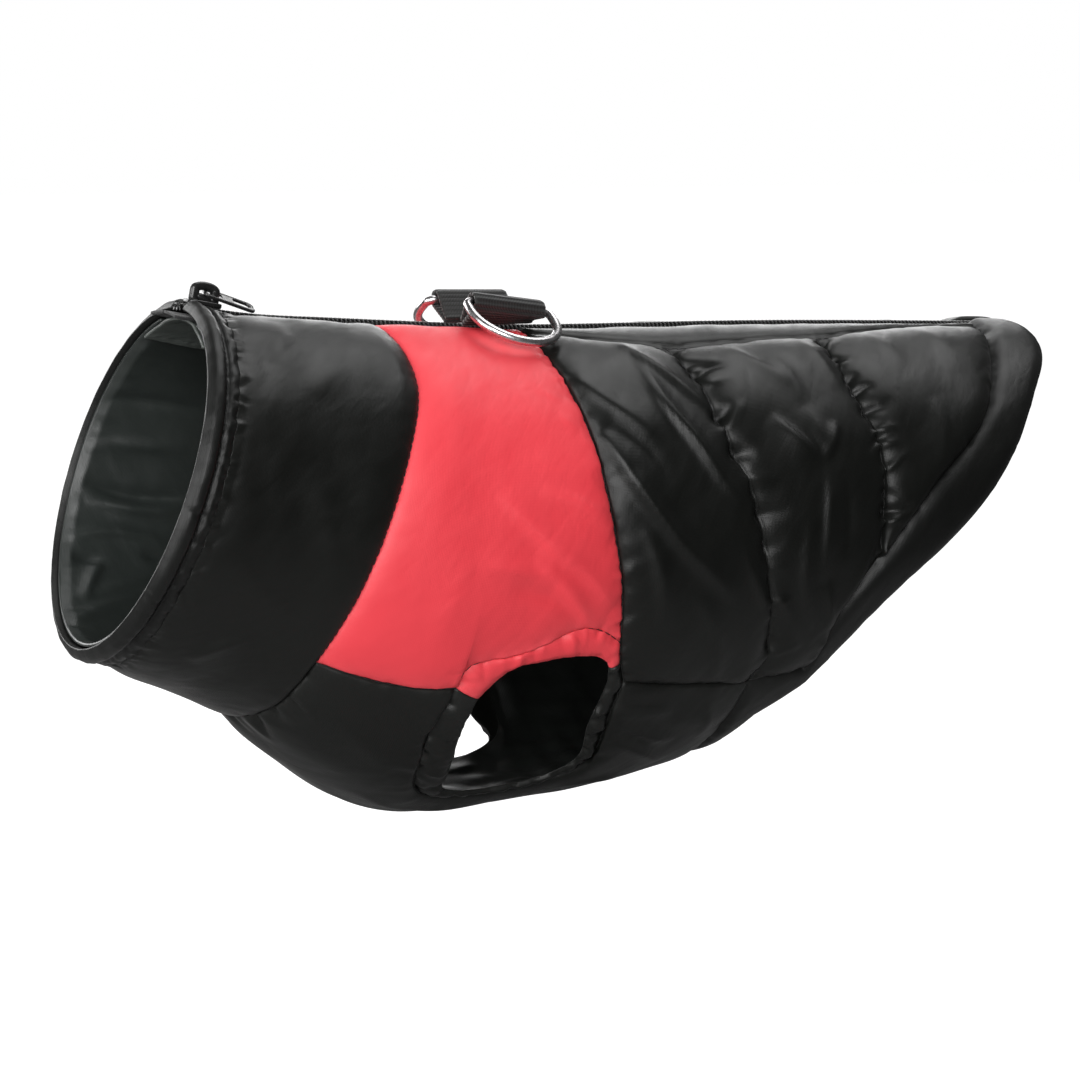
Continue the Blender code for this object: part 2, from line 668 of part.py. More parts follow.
def make_slider():
    foot, under, top = SLIDER_HEIGHTS
    wide = SLIDER_HALF_WIDTH
    thin = wide - SLIDER_FLANGE
    bevel = 0.35
    section = [(-wide, foot), (-thin, foot), (-thin, under), (thin, under), (thin, foot),
               (wide, foot), (wide, top - bevel), (wide - bevel, top),
               (bevel - wide, top), (-wide, top - bevel)]
    black = material("zip_slider", (0.03, 0.03, 0.03), 0.35, 0.6)
    half = SLIDER_LENGTH / 2
    extrude_section("zip_slider", section, -half, half, slider_place(), black)
    start = top + 0.32
    reach = BAIL_LENGTH / 2 - BAIL_WIRE / 2
    crown = start + BAIL_RISE - BAIL_WIRE / 2
    bow = np.pi * even(9)
    arch = [(-reach * np.cos(a), 0.0, crown - 1.3 * (1 - np.sin(a))) for a in bow]
    points = [(-reach, 0.0, start)] + arch + [(reach, 0.0, start)]
    black = material("slider_bail", (0.03, 0.03, 0.03), 0.35, 0.6)
    wire("slider_bail", slider_place()(points), BAIL_WIRE, False, black)


def pull_axis():
    """The pull's bar lies inside the bail, against the underside of its crown."""
    height = SLIDER_HEIGHTS[2] + 0.32 + BAIL_RISE - BAIL_WIRE - 0.3 - PULL_THICKNESS / 2
    return (0.0, 0.0, height)


def rounded_loop(start, end, half, radius):
    """Closed outline of a rectangle with round corners, from x = start to x = end."""
    corners = [(end - radius, half - radius, 0), (start + radius, half - radius, 90),
               (start + radius, radius - half, 180), (end - radius, radius - half, 270)]
    points = []
    for x, y, angle in corners:
        for turn in (0, 30, 60, 90):
            around = np.radians(angle + turn)
            points.append((x + radius * np.cos(around), y + radius * np.sin(around)))
    return points


def make_pull():
    outlines = [
        rounded_loop(-PULL_BAR / 2, PULL_LENGTH, PULL_HALF_WIDTH, 2.0),
        rounded_loop(PULL_BAR / 2, PULL_LOOP, 1.5, 0.6),
        rounded_loop(*PULL_SLOT, 1.6, 1.2),
    ]
    curve = bpy.data.curves.new("pull_outline", "CURVE")
    curve.dimensions = "2D"
    curve.fill_mode = "BOTH"
    curve.extrude = PULL_THICKNESS / 2 * MM
    for outline in outlines:
        run = curve.splines.new("POLY")
        run.points.add(len(outline) - 1)
        run.use_cyclic_u = True
        for slot, (x, y) in zip(run.points, outline):
            slot.co = (x * MM, y * MM, 0.0, 1.0)
    curve.materials.append(material("zip_pull", (0.03, 0.03, 0.03), 0.35, 0.6))
    thing = bpy.data.objects.new("zip_pull", curve)
    bpy.context.scene.collection.objects.link(thing)
    origin = slider_place(PULL_PITCH, pull_axis())([(0, 0, 0)])[0]
    thing.location = origin * MM
    thing.rotation_euler = (0.0, np.radians(PULL_PITCH), 0.0)


def lean_tab(tab, points):
    """Lower the rear of the loop, as the near one lies, and leave its root level."""
    points = np.array(points)
    root = TAB_ROOT[1]
    rise = (points[:, 2] - root) / (tab.bar_z - RING_WIRE / 2 - 1.0 - root)
    points[:, 2] -= np.tan(np.radians(tab.pitch)) * points[:, 0] * np.clip(rise, 0.0, 1.0)
    return points


def make_tab(tab):
    """Loop of webbing round the bar, as a ring-shaped section drawn along X."""
    bar = np.array([BAR_Y, tab.bar_z])
    root = np.array(TAB_ROOT)
    reach = bar - root
    distance = np.linalg.norm(reach)
    heading = np.arctan2(reach[1], reach[0])
    inner_radius = RING_WIRE / 2 + 0.62
    loops = []
    for radius, tip in ((inner_radius + TAB_THICKNESS, 0.0), (inner_radius, TAB_THICKNESS * 2.2)):
        half = np.arccos(min(0.98, (radius - TAB_THICKNESS * (tip == 0)) / (distance - tip)))
        turn = heading - (np.pi - half) + 2 * (np.pi - half) * even(11)
        around = bar + radius * np.stack([np.cos(turn), np.sin(turn)], -1)
        normal = np.array([-np.sin(heading), np.cos(heading)])
        foot = root + reach / distance * tip
        spread = TAB_THICKNESS if tip == 0 else 0.12
        ends = [foot + normal * spread, foot - normal * spread]
        loops.append(np.concatenate([around, ends]))
    count = len(loops[0])
    sign = -1 if tab.side == "left" else 1
    half_width = TAB_WIDTH / 2
    points = []
    for x in (-half_width, half_width):
        for loop in loops:
            points += [(x, sign * y, z) for y, z in loop]
    faces = []
    for i in range(count):
        j = (i + 1) % count
        outer, inner, far_outer, far_inner = 0, count, 2 * count, 3 * count
        faces.append([outer + i, outer + j, far_outer + j, far_outer + i])
        faces.append([inner + j, inner + i, far_inner + i, far_inner + j])
        faces.append([outer + j, outer + i, inner + i, inner + j])
        faces.append([far_outer + i, far_outer + j, far_inner + j, far_inner + i])
    grey = material("ring_tab_" + tab.side, (0.05, 0.05, 0.046), 0.7)
    add_mesh("ring_tab_" + tab.side, lean_tab(tab, points), faces, grey)


def make_ring(tab):
    """D-ring: straight bar, two round corners and a bow, in a plane below level."""
    half = RING_WIDTH / 2
    depth = RING_DEPTH
    corner = RING_CORNER
    flat = []
    for turn in np.radians([180, 210, 240, 270]):
        flat.append((-half + corner + corner * np.cos(turn), corner + corner * np.sin(turn)))
    flat += [(0.0, 0.0)]
    for turn in np.radians([270, 300, 330, 360]):
        flat.append((half - corner + corner * np.cos(turn), corner + corner * np.sin(turn)))
    for turn in np.pi * even(19)[1:-1]:
        flat.append((half * np.cos(turn), corner + 2.0 + (depth - corner - 2.0) * np.sin(turn) ** 0.9))
    sign = -1 if tab.side == "left" else 1
    angle = np.radians(RING_REST)
    points = [(x, sign * out * np.cos(angle), -out * np.sin(angle)) for x, out in flat]
    place = pitched((0.0, sign * BAR_Y, tab.bar_z), tab.pitch)
    steel = material("d_ring_" + tab.side, (0.75, 0.73, 0.74), 0.18, 1.0)
    wire("d_ring_" + tab.side, place(points), RING_WIRE, True, steel)


def main():
    for thing in list(bpy.data.objects):
        bpy.data.objects.remove(thing, do_unlink=True)
    make_collar()
    make_neck_trim()
    for side in ("left", "right"):
        make_yoke(side)
        make_back(side)
        make_armhole_hem(side)
    make_underside()
    make_hem()
    make_zip()
    make_slider()
    make_pull()
    for tab in TABS:
        make_tab(tab)
        make_ring(tab)


main()
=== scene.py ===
import math

import bpy
import numpy as np
from mathutils import Matrix, Vector


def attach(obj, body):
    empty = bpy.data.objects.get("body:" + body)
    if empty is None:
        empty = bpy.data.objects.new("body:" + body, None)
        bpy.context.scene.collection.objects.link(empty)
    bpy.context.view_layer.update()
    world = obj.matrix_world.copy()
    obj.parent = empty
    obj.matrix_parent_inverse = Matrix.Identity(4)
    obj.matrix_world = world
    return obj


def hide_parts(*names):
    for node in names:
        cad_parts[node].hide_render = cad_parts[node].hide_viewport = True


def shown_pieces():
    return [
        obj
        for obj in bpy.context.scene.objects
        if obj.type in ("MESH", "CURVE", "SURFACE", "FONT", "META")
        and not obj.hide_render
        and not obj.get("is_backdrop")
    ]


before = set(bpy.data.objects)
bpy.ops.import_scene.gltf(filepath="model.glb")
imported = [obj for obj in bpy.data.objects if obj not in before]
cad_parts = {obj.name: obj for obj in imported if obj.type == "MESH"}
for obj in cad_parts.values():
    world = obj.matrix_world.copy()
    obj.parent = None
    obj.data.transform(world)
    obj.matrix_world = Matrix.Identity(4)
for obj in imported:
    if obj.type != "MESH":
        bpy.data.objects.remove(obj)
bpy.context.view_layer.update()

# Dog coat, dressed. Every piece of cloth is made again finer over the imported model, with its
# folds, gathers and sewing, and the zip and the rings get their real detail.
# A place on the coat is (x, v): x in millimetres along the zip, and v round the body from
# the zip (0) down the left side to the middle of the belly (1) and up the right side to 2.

mm = 0.001
halfGirth = 205.0     # one unit of v as a length, for folds and weave
seamGap = 0.02        # cloth stops this far short of its seam line
print("packed model loaded")


# Camera and light

cameraView = {
    "azimuth": -28.0,
    "elevation": 8.0,
    "distance": 1.0,
    "target": (0.02, 0.0, -0.0715),
    "photoSide": 1080,
    "photoMiddle": (543, 548),
    "pixelsPerMetre": 3050,
    "sensor": 36.0,
}


def makeCamera():
    view = cameraView
    turn = math.radians(view["azimuth"])
    rise = math.radians(view["elevation"])
    back = Vector((math.sin(turn) * math.cos(rise), -math.cos(turn) * math.cos(rise), math.sin(rise)))
    right = Vector((math.cos(turn), math.sin(turn), 0.0))
    up = back.cross(right)
    data = bpy.data.cameras.new("photoCamera")
    camera = bpy.data.objects.new("photoCamera", data)
    bpy.context.scene.collection.objects.link(camera)
    place = Vector(view["target"]) + back * view["distance"]
    camera.matrix_world = Matrix([(*row, 0.0) for row in (right, up, back)] + [(*place, 1.0)]).transposed()
    side = view["photoSide"]
    data.sensor_width = view["sensor"]
    data.lens = view["pixelsPerMetre"] * view["distance"] / side * view["sensor"]
    data.shift_x = (side / 2 - view["photoMiddle"][0]) / side
    data.shift_y = (view["photoMiddle"][1] - side / 2) / side
    bpy.context.scene.camera = camera


# name: place, what it looks at, width, height, watts
studioLights = {
    "frontSoftbox": ((-0.80, -1.25, 0.50), (0.0, 0.0, -0.07), 0.9, 0.9, 18.0),
    "leftSoftbox": ((-1.25, -0.30, 0.30), (-0.1, 0.0, -0.06), 0.7, 0.7, 9.0),
    "rearSoftbox": ((0.65, 1.2, 0.45), (0.0, 0.0, -0.05), 0.9, 0.6, 7.0),
    "farSoftbox": ((-0.5, 1.3, 0.45), (0.0, 0.0, -0.06), 0.8, 0.8, 9.0),
}
overheadLight = {"from": (0.37, 0.06, 0.93), "spread": 46.0, "strength": 1.5}
studio = {
    "floorHeight": -0.158, "floorSize": 8.0,
    "floorPaintedLight": (0.50, 0.05), "floorFade": (0.12, 0.42),     # painted pool of light: the floor colour is pale near the coat, with painted shade further out
    "floorGlow": (0.0, 1.0),      # as light on the coat, and as the camera sees it
    "surround": (0.08, 1.0),
}


def cameraOnly(tree, levels):
    # the first level for light that reaches the coat, the second for what the camera sees
    ray = tree.nodes.new("ShaderNodeLightPath")
    level = tree.nodes.new("ShaderNodeMapRange")
    level.inputs["To Min"].default_value, level.inputs["To Max"].default_value = levels
    tree.links.new(ray.outputs["Is Camera Ray"], level.inputs["Value"])
    return level.outputs[0]


def aimLight(light, place, target):
    bpy.context.scene.collection.objects.link(light)
    light.location = place
    light.rotation_mode = "QUATERNION"
    light.rotation_quaternion = (Vector(target) - Vector(place)).to_track_quat("-Z", "Y")


def makeStudio():
    for name, (place, target, width, height, watts) in studioLights.items():
        data = bpy.data.lights.new(name, "AREA")
        data.shape = "RECTANGLE"
        data.size = width
        data.size_y = height
        data.energy = watts
        aimLight(bpy.data.objects.new(name, data), place, target)
    data = bpy.data.lights.new("overheadLight", "SUN")
    data.angle = math.radians(overheadLight["spread"])
    data.energy = overheadLight["strength"]
    aimLight(bpy.data.objects.new("overheadLight", data), overheadLight["from"], (0.0, 0.0, 0.0))
    world = bpy.data.worlds.new("studioWorld")
    world.use_nodes = True
    tree = world.node_tree
    surround = tree.nodes["Background"]
    surround.inputs["Color"].default_value = (1.0, 1.0, 1.0, 1.0)
    tree.links.new(cameraOnly(tree, studio["surround"]), surround.inputs["Strength"])
    bpy.context.scene.world = world
    bpy.context.scene.view_settings.view_transform = "Standard"
    half = studio["floorSize"]
    corners = [(-half, -half), (half, -half), (half, half), (-half, half)]
    mesh = bpy.data.meshes.new("studioFloor")
    mesh.from_pydata([(x, y, studio["floorHeight"]) for x, y in corners], [], [(0, 1, 2, 3)])
    floor = bpy.data.objects.new("studioFloor", mesh)
    bpy.context.scene.collection.objects.link(floor)
    pale = bpy.data.materials.new("paleFloor")
    pale.use_nodes = True
    shader = pale.node_tree.nodes["Principled BSDF"]
    shader.inputs["Roughness"].default_value = 0.9
    shader.inputs["Emission Color"].default_value = (1.0, 1.0, 1.0, 1.0)
    tree = pale.node_tree
    tree.links.new(cameraOnly(tree, studio["floorGlow"]), shader.inputs["Emission Strength"])
    # the floor colour fades from the painted pool of light near the coat to painted shade further out
    spot = tree.nodes.new("ShaderNodeTexCoord")
    away = tree.nodes.new("ShaderNodeVectorMath")
    away.operation = "LENGTH"
    shade = tree.nodes.new("ShaderNodeMapRange")
    shade.inputs["From Min"].default_value, shade.inputs["From Max"].default_value = studio["floorFade"]
    shade.inputs["To Min"].default_value, shade.inputs["To Max"].default_value = studio["floorPaintedLight"]
    tree.links.new(spot.outputs["Object"], away.inputs[0])
    tree.links.new(away.outputs["Value"], shade.inputs["Value"])
    tree.links.new(shade.outputs[0], shader.inputs["Base Color"])
    mesh.materials.append(pale)
    floor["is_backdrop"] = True


makeCamera()
makeStudio()
print("camera and studio ready")


# Finishes

def makeGroup(name, inputs, outputs):
    group = bpy.data.node_groups.new(name, "ShaderNodeTree")
    for socket, kind, value in inputs:
        made = group.interface.new_socket(socket, in_out="INPUT", socket_type="NodeSocket" + kind)
        if value is not None:
            made.default_value = value
    for socket, kind in outputs:
        group.interface.new_socket(socket, in_out="OUTPUT", socket_type="NodeSocket" + kind)
    start = group.nodes.new("NodeGroupInput")
    end = group.nodes.new("NodeGroupOutput")
    return group, start, end


def calculate(tree, operation, first, second=None, third=None):
    # a Math node whose inputs are sockets or plain numbers
    node = tree.nodes.new("ShaderNodeMath")
    node.operation = operation
    for slot, value in zip(node.inputs, (first, second, third)):
        if value is None:
            continue
        if isinstance(value, (int, float)):
            slot.default_value = value
        else:
            tree.links.new(value, slot)
    return node.outputs[0]


def setInputs(tree, node, values):
    # each value is a socket to link or a plain number
    for name, value in values.items():
        if isinstance(value, (int, float)):
            node.inputs[name].default_value = value
        else:
            tree.links.new(value, node.inputs[name])
    return node


def addNoise(tree, **values):
    return setInputs(tree, tree.nodes.new("ShaderNodeTexNoise"), values).outputs["Fac"]


def makeWeaveGroup():
    # plain weave: little raised squares where warp and weft cross
    group, start, end = makeGroup(
        "clothWeave",
        [("Place", "Vector", None), ("Pitch", "Float", 0.35)],
        [("Height", "Float")],
    )
    split = group.nodes.new("ShaderNodeSeparateXYZ")
    group.links.new(start.outputs["Place"], split.inputs[0])
    turns = calculate(group, "DIVIDE", math.pi, start.outputs["Pitch"])
    warp = calculate(group, "SINE", calculate(group, "MULTIPLY", split.outputs[0], turns))
    weft = calculate(group, "SINE", calculate(group, "MULTIPLY", split.outputs[1], turns))
    crossing = calculate(group, "MULTIPLY", warp, weft)
    group.links.new(calculate(group, "ABSOLUTE", crossing), end.inputs["Height"])
    return group


def makeCrinkleGroup():
    # the small soft crumples of thin nylon over wadding, which lie aslant
    slope = 0.5
    group, start, end = makeGroup(
        "nylonCrinkle",
        [("Place", "Vector", None), ("Size", "Float", 9.0), ("Stretch", "Float", 2.0)],
        [("Height", "Float"), ("Mask", "Float")],
    )
    split = group.nodes.new("ShaderNodeSeparateXYZ")
    join = group.nodes.new("ShaderNodeCombineXYZ")
    group.links.new(start.outputs["Place"], split.inputs[0])
    slant = calculate(group, "ADD", split.outputs[0], calculate(group, "MULTIPLY", split.outputs[1], slope))
    group.links.new(calculate(group, "MULTIPLY", slant, start.outputs["Stretch"]), join.inputs[0])
    group.links.new(split.outputs[1], join.inputs[1])
    scale = calculate(group, "DIVIDE", 1.0, start.outputs["Size"])
    coarse = addNoise(group, Vector=join.outputs[0], Scale=scale, Detail=1.6, Roughness=0.5, Distortion=0.25)
    group.links.new(coarse, end.inputs["Height"])
    group.links.new(calculate(group, "SMOOTH_MIN", coarse, 1.0, 0.2), end.inputs["Mask"])
    return group


def makeDriftGroup():
    # slow changes of dye and rub over the cloth, and paler edges where it is handled
    group, start, end = makeGroup(
        "shadeDrift",
        [("Place", "Vector", None), ("Edge", "Float", 0.0), ("Size", "Float", 40.0), ("Rub", "Float", 0.5)],
        [("Mask", "Float"), ("Wear", "Float")],
    )
    scale = calculate(group, "DIVIDE", 1.0, start.outputs["Size"])
    slow = addNoise(group, Vector=start.outputs["Place"], Scale=scale, Detail=3.0)
    fine = addNoise(group, Vector=start.outputs["Place"], Scale=1.3, Detail=2.0)
    group.links.new(slow, end.inputs["Mask"])
    rubbed = calculate(group, "MULTIPLY", start.outputs["Edge"], fine)
    group.links.new(calculate(group, "MULTIPLY", rubbed, start.outputs["Rub"]), end.inputs["Wear"])
    return group


def makeRibGroup():
    # fine ribs across a woven tape or webbing, with a fainter thread pattern over them
    threadShare = 0.3
    group, start, end = makeGroup(
        "tapeRibs",
        [("Place", "Vector", None), ("Pitch", "Float", 1.2), ("Thread", "Float", 0.5)],
        [("Height", "Float")],
    )
    split = group.nodes.new("ShaderNodeSeparateXYZ")
    group.links.new(start.outputs["Place"], split.inputs[0])
    ribTurns = calculate(group, "DIVIDE", math.tau, start.outputs["Pitch"])
    threadTurns = calculate(group, "DIVIDE", math.tau, start.outputs["Thread"])
    rib = calculate(group, "SINE", calculate(group, "MULTIPLY", split.outputs[1], ribTurns))
    thread = calculate(group, "SINE", calculate(group, "MULTIPLY", split.outputs[0], threadTurns))
    group.links.new(calculate(group, "MULTIPLY_ADD", thread, threadShare, rib), end.inputs["Height"])
    return group


weaveGroup = makeWeaveGroup()
crinkleGroup = makeCrinkleGroup()
driftGroup = makeDriftGroup()
ribGroup = makeRibGroup()


def placeGroup(tree, group, **values):
    node = tree.nodes.new("ShaderNodeGroup")
    node.node_tree = group
    return setInputs(tree, node, values)


def readAttribute(tree, name, output):
    node = tree.nodes.new("ShaderNodeAttribute")
    node.attribute_name = name
    return node.outputs[output]


def newMaterial(name, sockets):
    made = bpy.data.materials.new(name)
    made.use_nodes = True
    shader = made.node_tree.nodes["Principled BSDF"]
    for socket, value in sockets.items():
        shader.inputs[socket].default_value = value
    return made, made.node_tree, shader


def mixColours(tree, mask, dark, light):
    # inputs 6 and 7 and output 2 are the colour sockets of a Mix node; dark is a colour or a socket
    node = tree.nodes.new("ShaderNodeMix")
    node.data_type = "RGBA"
    node.inputs[6].default_value = (*dark, 1.0) if isinstance(dark, tuple) else (0, 0, 0, 1)
    node.inputs[7].default_value = (*light, 1.0)
    if not isinstance(dark, tuple):
        tree.links.new(dark, node.inputs[6])
    tree.links.new(mask, node.inputs[0])
    return node.outputs[2]


noiseSpan = {"From Min": 0.3, "From Max": 0.7}     # where most of a noise's values lie


def spreadMask(tree, mask, low, high):
    node = tree.nodes.new("ShaderNodeMapRange")
    setInputs(tree, node, {**noiseSpan, "To Min": low, "To Max": high, "Value": mask})
    return node.outputs[0]


def addBump(tree, shader, height, strength, distance):
    bump = tree.nodes.new("ShaderNodeBump")
    setInputs(tree, bump, {"Strength": strength, "Distance": distance, "Height": height})
    tree.links.new(bump.outputs["Normal"], shader.inputs["Normal"])


# colours are the dark and light of each cloth, rub is what shows on its worn edges
nylonLooks = {
    "blackNylon": {
        "dark": (0.0030, 0.0034, 0.0028), "light": (0.0052, 0.0057, 0.0048), "rub": (0.022, 0.023, 0.021),
        "roughness": (0.35, 0.44), "crinkle": 0.3, "size": 11.0, "weave": 0.025, "specular": 0.33,
    },
    "hemNylon": {
        "dark": (0.0028, 0.0031, 0.0027), "light": (0.0048, 0.0052, 0.0046), "rub": (0.022, 0.023, 0.022),
        "roughness": (0.38, 0.46), "crinkle": 0.3, "size": 8.0, "weave": 0.025, "specular": 0.33,
    },
    "redNylon": {
        "dark": (0.80, 0.046, 0.062), "light": (0.87, 0.062, 0.080), "rub": (0.90, 0.14, 0.16),
        "roughness": (0.42, 0.55), "crinkle": 0.32, "size": 8.0, "weave": 0.025, "specular": 0.4,
    },
    "satinLining": {
        "dark": (0.016, 0.0195, 0.0178), "light": (0.029, 0.034, 0.0315), "rub": (0.026, 0.030, 0.028),
        "roughness": (0.30, 0.40), "crinkle": 0.25, "size": 10.0, "weave": 0.03, "specular": 0.55,
    },
    # lining of the yokes, backs and underside: the satin lining painted darker, as painted shade inside the
    # coat
    "shadedLining": {
        "dark": (0.006, 0.0068, 0.0062), "light": (0.0105, 0.0118, 0.0108), "rub": (0.016, 0.017, 0.016),
        "roughness": (0.42, 0.52), "crinkle": 0.25, "size": 10.0, "weave": 0.03, "specular": 0.25,
    },
    # the facing's own paler cloth, painted paler still as painted light where it lies in shade inside the
    # neck
    "paleFacingPaintedLight": {
        "dark": (0.075, 0.084, 0.077), "light": (0.11, 0.122, 0.113), "rub": (0.12, 0.13, 0.12),
        "roughness": (0.38, 0.5), "crinkle": 0.35, "size": 5.0, "weave": 0.04, "specular": 0.5,
    },
}


# pitches and sizes in millimetres on the cloth
nylonDetail = {"weave": 0.42, "stretch": 1.7, "drift": 38.0, "rub": 0.5, "bump": 0.8}


def makeNylon(name, look):
    detail = nylonDetail
    made, tree, shader = newMaterial(name, {"Specular IOR Level": look["specular"]})
    place = readAttribute(tree, "clothPlace", "Vector")
    edge = readAttribute(tree, "clothEdge", "Fac")
    weave = placeGroup(tree, weaveGroup, Place=place, Pitch=detail["weave"])
    crinkle = placeGroup(tree, crinkleGroup, Place=place, Size=look["size"], Stretch=detail["stretch"])
    drift = placeGroup(tree, driftGroup, Place=place, Edge=edge, Size=detail["drift"], Rub=detail["rub"])
    colour = mixColours(tree, drift.outputs["Mask"], look["dark"], look["light"])
    colour = mixColours(tree, drift.outputs["Wear"], colour, look["rub"])
    tree.links.new(colour, shader.inputs["Base Color"])
    roughness = spreadMask(tree, crinkle.outputs["Mask"], *look["roughness"])
    tree.links.new(roughness, shader.inputs["Roughness"])
    height = calculate(tree, "MULTIPLY", crinkle.outputs["Height"], look["crinkle"])
    height = calculate(tree, "MULTIPLY_ADD", weave.outputs["Height"], look["weave"], height)
    addBump(tree, shader, height, detail["bump"], mm)
    return made


# woven tapes: dark, as painted shade in the troughs between ribs, light, as painted light on the rib tops,
# then rib pitch, thread pitch and rib height in millimetres, and roughness
tapeLooks = {
    "blackWebbing": ((0.0035, 0.0035, 0.0032), (0.0095, 0.0095, 0.0088), 1.6, 0.55, 0.16, 0.68),
    "zipTapeCloth": ((0.005, 0.005, 0.005), (0.012, 0.012, 0.012), 0.9, 0.6, 0.1, 0.75),
}


tapeDetail = {"drift": 12.0, "rub": 0.6, "rubbedShade": 3, "ribPaintedShade": (0.0, 0.8), "bump": 0.9}
tapeSheen = {"Sheen Weight": 0.2, "Sheen Roughness": 0.5}


def makeTape(name, look):
    detail = tapeDetail
    dark, light, rib, thread, depth, roughness = look
    made, tree, shader = newMaterial(name, {"Roughness": roughness, **tapeSheen})
    place = readAttribute(tree, "clothPlace", "Vector")
    edge = readAttribute(tree, "clothEdge", "Fac")
    ribs = placeGroup(tree, ribGroup, Place=place, Pitch=rib, Thread=thread)
    drift = placeGroup(tree, driftGroup, Place=place, Edge=edge, Size=detail["drift"], Rub=detail["rub"])
    # painted shade in the rib troughs and painted light on the rib tops, taken from the rib height
    colour = mixColours(tree, spreadMask(tree, ribs.outputs["Height"], *detail["ribPaintedShade"]), dark, light)
    rubbed = tuple(detail["rubbedShade"] * part for part in light)
    colour = mixColours(tree, drift.outputs["Wear"], colour, rubbed)
    tree.links.new(colour, shader.inputs["Base Color"])
    addBump(tree, shader, ribs.outputs["Height"], detail["bump"], depth * mm)
    return made


# hard finishes: dark, light, metallic, roughness from and to, size of the marks in metres
hardLooks = {
    "polishedSteel": ((0.60, 0.58, 0.59), (0.80, 0.78, 0.79), 1.0, (0.20, 0.34), 0.003),
    "blackEnamel": ((0.008, 0.008, 0.008), (0.02, 0.02, 0.02), 0.0, (0.16, 0.3), 0.002),
    "nylonCoil": ((0.004, 0.004, 0.004), (0.010, 0.010, 0.0095), 0.0, (0.28, 0.4), 0.002),
    "blackThread": ((0.004, 0.004, 0.004), (0.012, 0.012, 0.012), 0.0, (0.5, 0.65), 0.001),
    "redThread": ((0.50, 0.015, 0.025), (0.62, 0.025, 0.04), 0.0, (0.5, 0.65), 0.001),
}


def makeMarksGroup():
    # light handling marks: patches of a duller finish and a slight unevenness
    group, start, end = makeGroup(
        "handlingMarks",
        [("Size", "Float", 0.003)],
        [("Mask", "Float"), ("Height", "Float")],
    )
    texture = group.nodes.new("ShaderNodeTexCoord")
    scale = calculate(group, "DIVIDE", 1.0, start.outputs["Size"])
    patches = addNoise(group, Vector=texture.outputs["Object"], Scale=scale, Detail=4.0)
    for output in ("Mask", "Height"):
        group.links.new(patches, end.inputs[output])
    return group


marksGroup = makeMarksGroup()


hardBump = (0.15, 0.0001)     # strength, and depth in metres


def makeHard(name, look):
    dark, light, metallic, roughness, size = look
    made, tree, shader = newMaterial(name, {"Metallic": metallic})
    marks = placeGroup(tree, marksGroup, Size=size)
    tree.links.new(mixColours(tree, marks.outputs["Mask"], dark, light), shader.inputs["Base Color"])
    tree.links.new(spreadMask(tree, marks.outputs["Mask"], *roughness), shader.inputs["Roughness"])
    addBump(tree, shader, marks.outputs["Height"], *hardBump)
    return made


finishes = {name: makeNylon(name, look) for name, look in nylonLooks.items()}
finishes.update({name: makeTape(name, look) for name, look in tapeLooks.items()})
finishes.update({name: makeHard(name, look) for name, look in hardLooks.items()})
print("finishes ready")


# Form of the body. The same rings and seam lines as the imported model's.

bodyForm = {
    "xZip": [-107.0, -82.0, -62.0, -45.0, -25.0, 0.0, 40.0, 90.0, 140.0, 206.0],
    "zZip": [10.0, 5.8, 4.2, 3.0, 1.6, 0.0, -1.0, -1.6, -3.0, -5.4],
    "zBelly": [-90.5, -100.5, -111.0, -127.0, -145.0, -150.5, -146.5, -136.5, -119.0, -98.0],
    "lean": [-35.0, -35.0, -35.0, -32.0, -24.0, -14.0, -4.0, -1.0, 0.0, 0.0],
    "halfWidth": [49.5, 47.5, 48.0, 51.0, 54.0, 56.0, 58.0, 58.0, 56.5, 50.5],
    "egg": [0.04, 0.03, 0.03, 0.04, 0.05, 0.07, 0.08, 0.08, 0.06, 0.04],
}
zipHalf = 4.6      # from the middle of the zip to the edge of the cloth
neckX = -106.5     # where the rim of the neck crosses the zip
rimBand = 9.6      # width of the rim's binding
seams = {
    "collar": [(-44.0, 0.0), (-40.5, 0.145), (-39.0, 0.225), (-41.5, 0.32), (-44.5, 0.415), (-47.0, 0.505),
               (-49.5, 0.60), (-52.0, 0.70), (-53.5, 0.80), (-56.0, 0.915), (-58.0, 1.0)],
    "shoulder": [(7.5, 0.0), (7.5, 0.13), (12.3, 0.275), (18.3, 0.44), (21.8, 0.54), (22.6, 0.584),
                 (24.0, 0.614), (26.5, 0.647)],
    "chest": [(-52.0, 0.70), (-40.0, 0.677), (-24.6, 0.647), (-20.6, 0.640)],
    "side": [(26.5, 0.647), (52.0, 0.677), (72.5, 0.700)],
    "strip": [(7.5, 0.058), (21.0, 0.083), (54.0, 0.125), (81.0, 0.118), (126.0, 0.098), (143.0, 0.078),
              (165.0, 0.062), (184.0, 0.058)],
    "quiltFront": [(52.0, 0.125), (54.8, 0.215), (60.0, 0.34), (65.5, 0.415), (70.0, 0.52), (74.5, 0.613),
                   (75.5, 0.665), (72.5, 0.70)],
    "quiltRear": [(111.5, 0.105), (110.5, 0.24), (112.5, 0.30), (114.5, 0.36), (114.7, 0.43), (112.6, 0.545)],
    "hem": [(184.0, 0.026), (182.5, 0.08), (176.0, 0.17), (166.5, 0.27), (154.6, 0.357), (128.5, 0.462),
            (114.6, 0.533), (99.5, 0.61), (93.7, 0.71)],
    "hemCorner": [(93.7, 0.71), (83.5, 0.708), (72.5, 0.70)],
    "hemBelly": [(72.5, 0.70), (71.0, 0.76), (70.0, 0.84), (69.3, 0.92), (69.0, 1.0)],
    "edge": [(206.0, 0.026), (204.0, 0.10), (196.0, 0.21), (186.0, 0.285), (177.0, 0.356), (158.5, 0.482),
             (138.0, 0.567), (119.0, 0.630), (107.0, 0.690), (97.5, 0.755)],
    "edgeCorner": [(97.5, 0.755), (90.0, 0.787), (83.5, 0.815)],
    "edgeBelly": [(83.5, 0.815), (80.8, 0.855), (79.4, 0.90), (78.8, 0.95), (78.6, 1.0)],
}
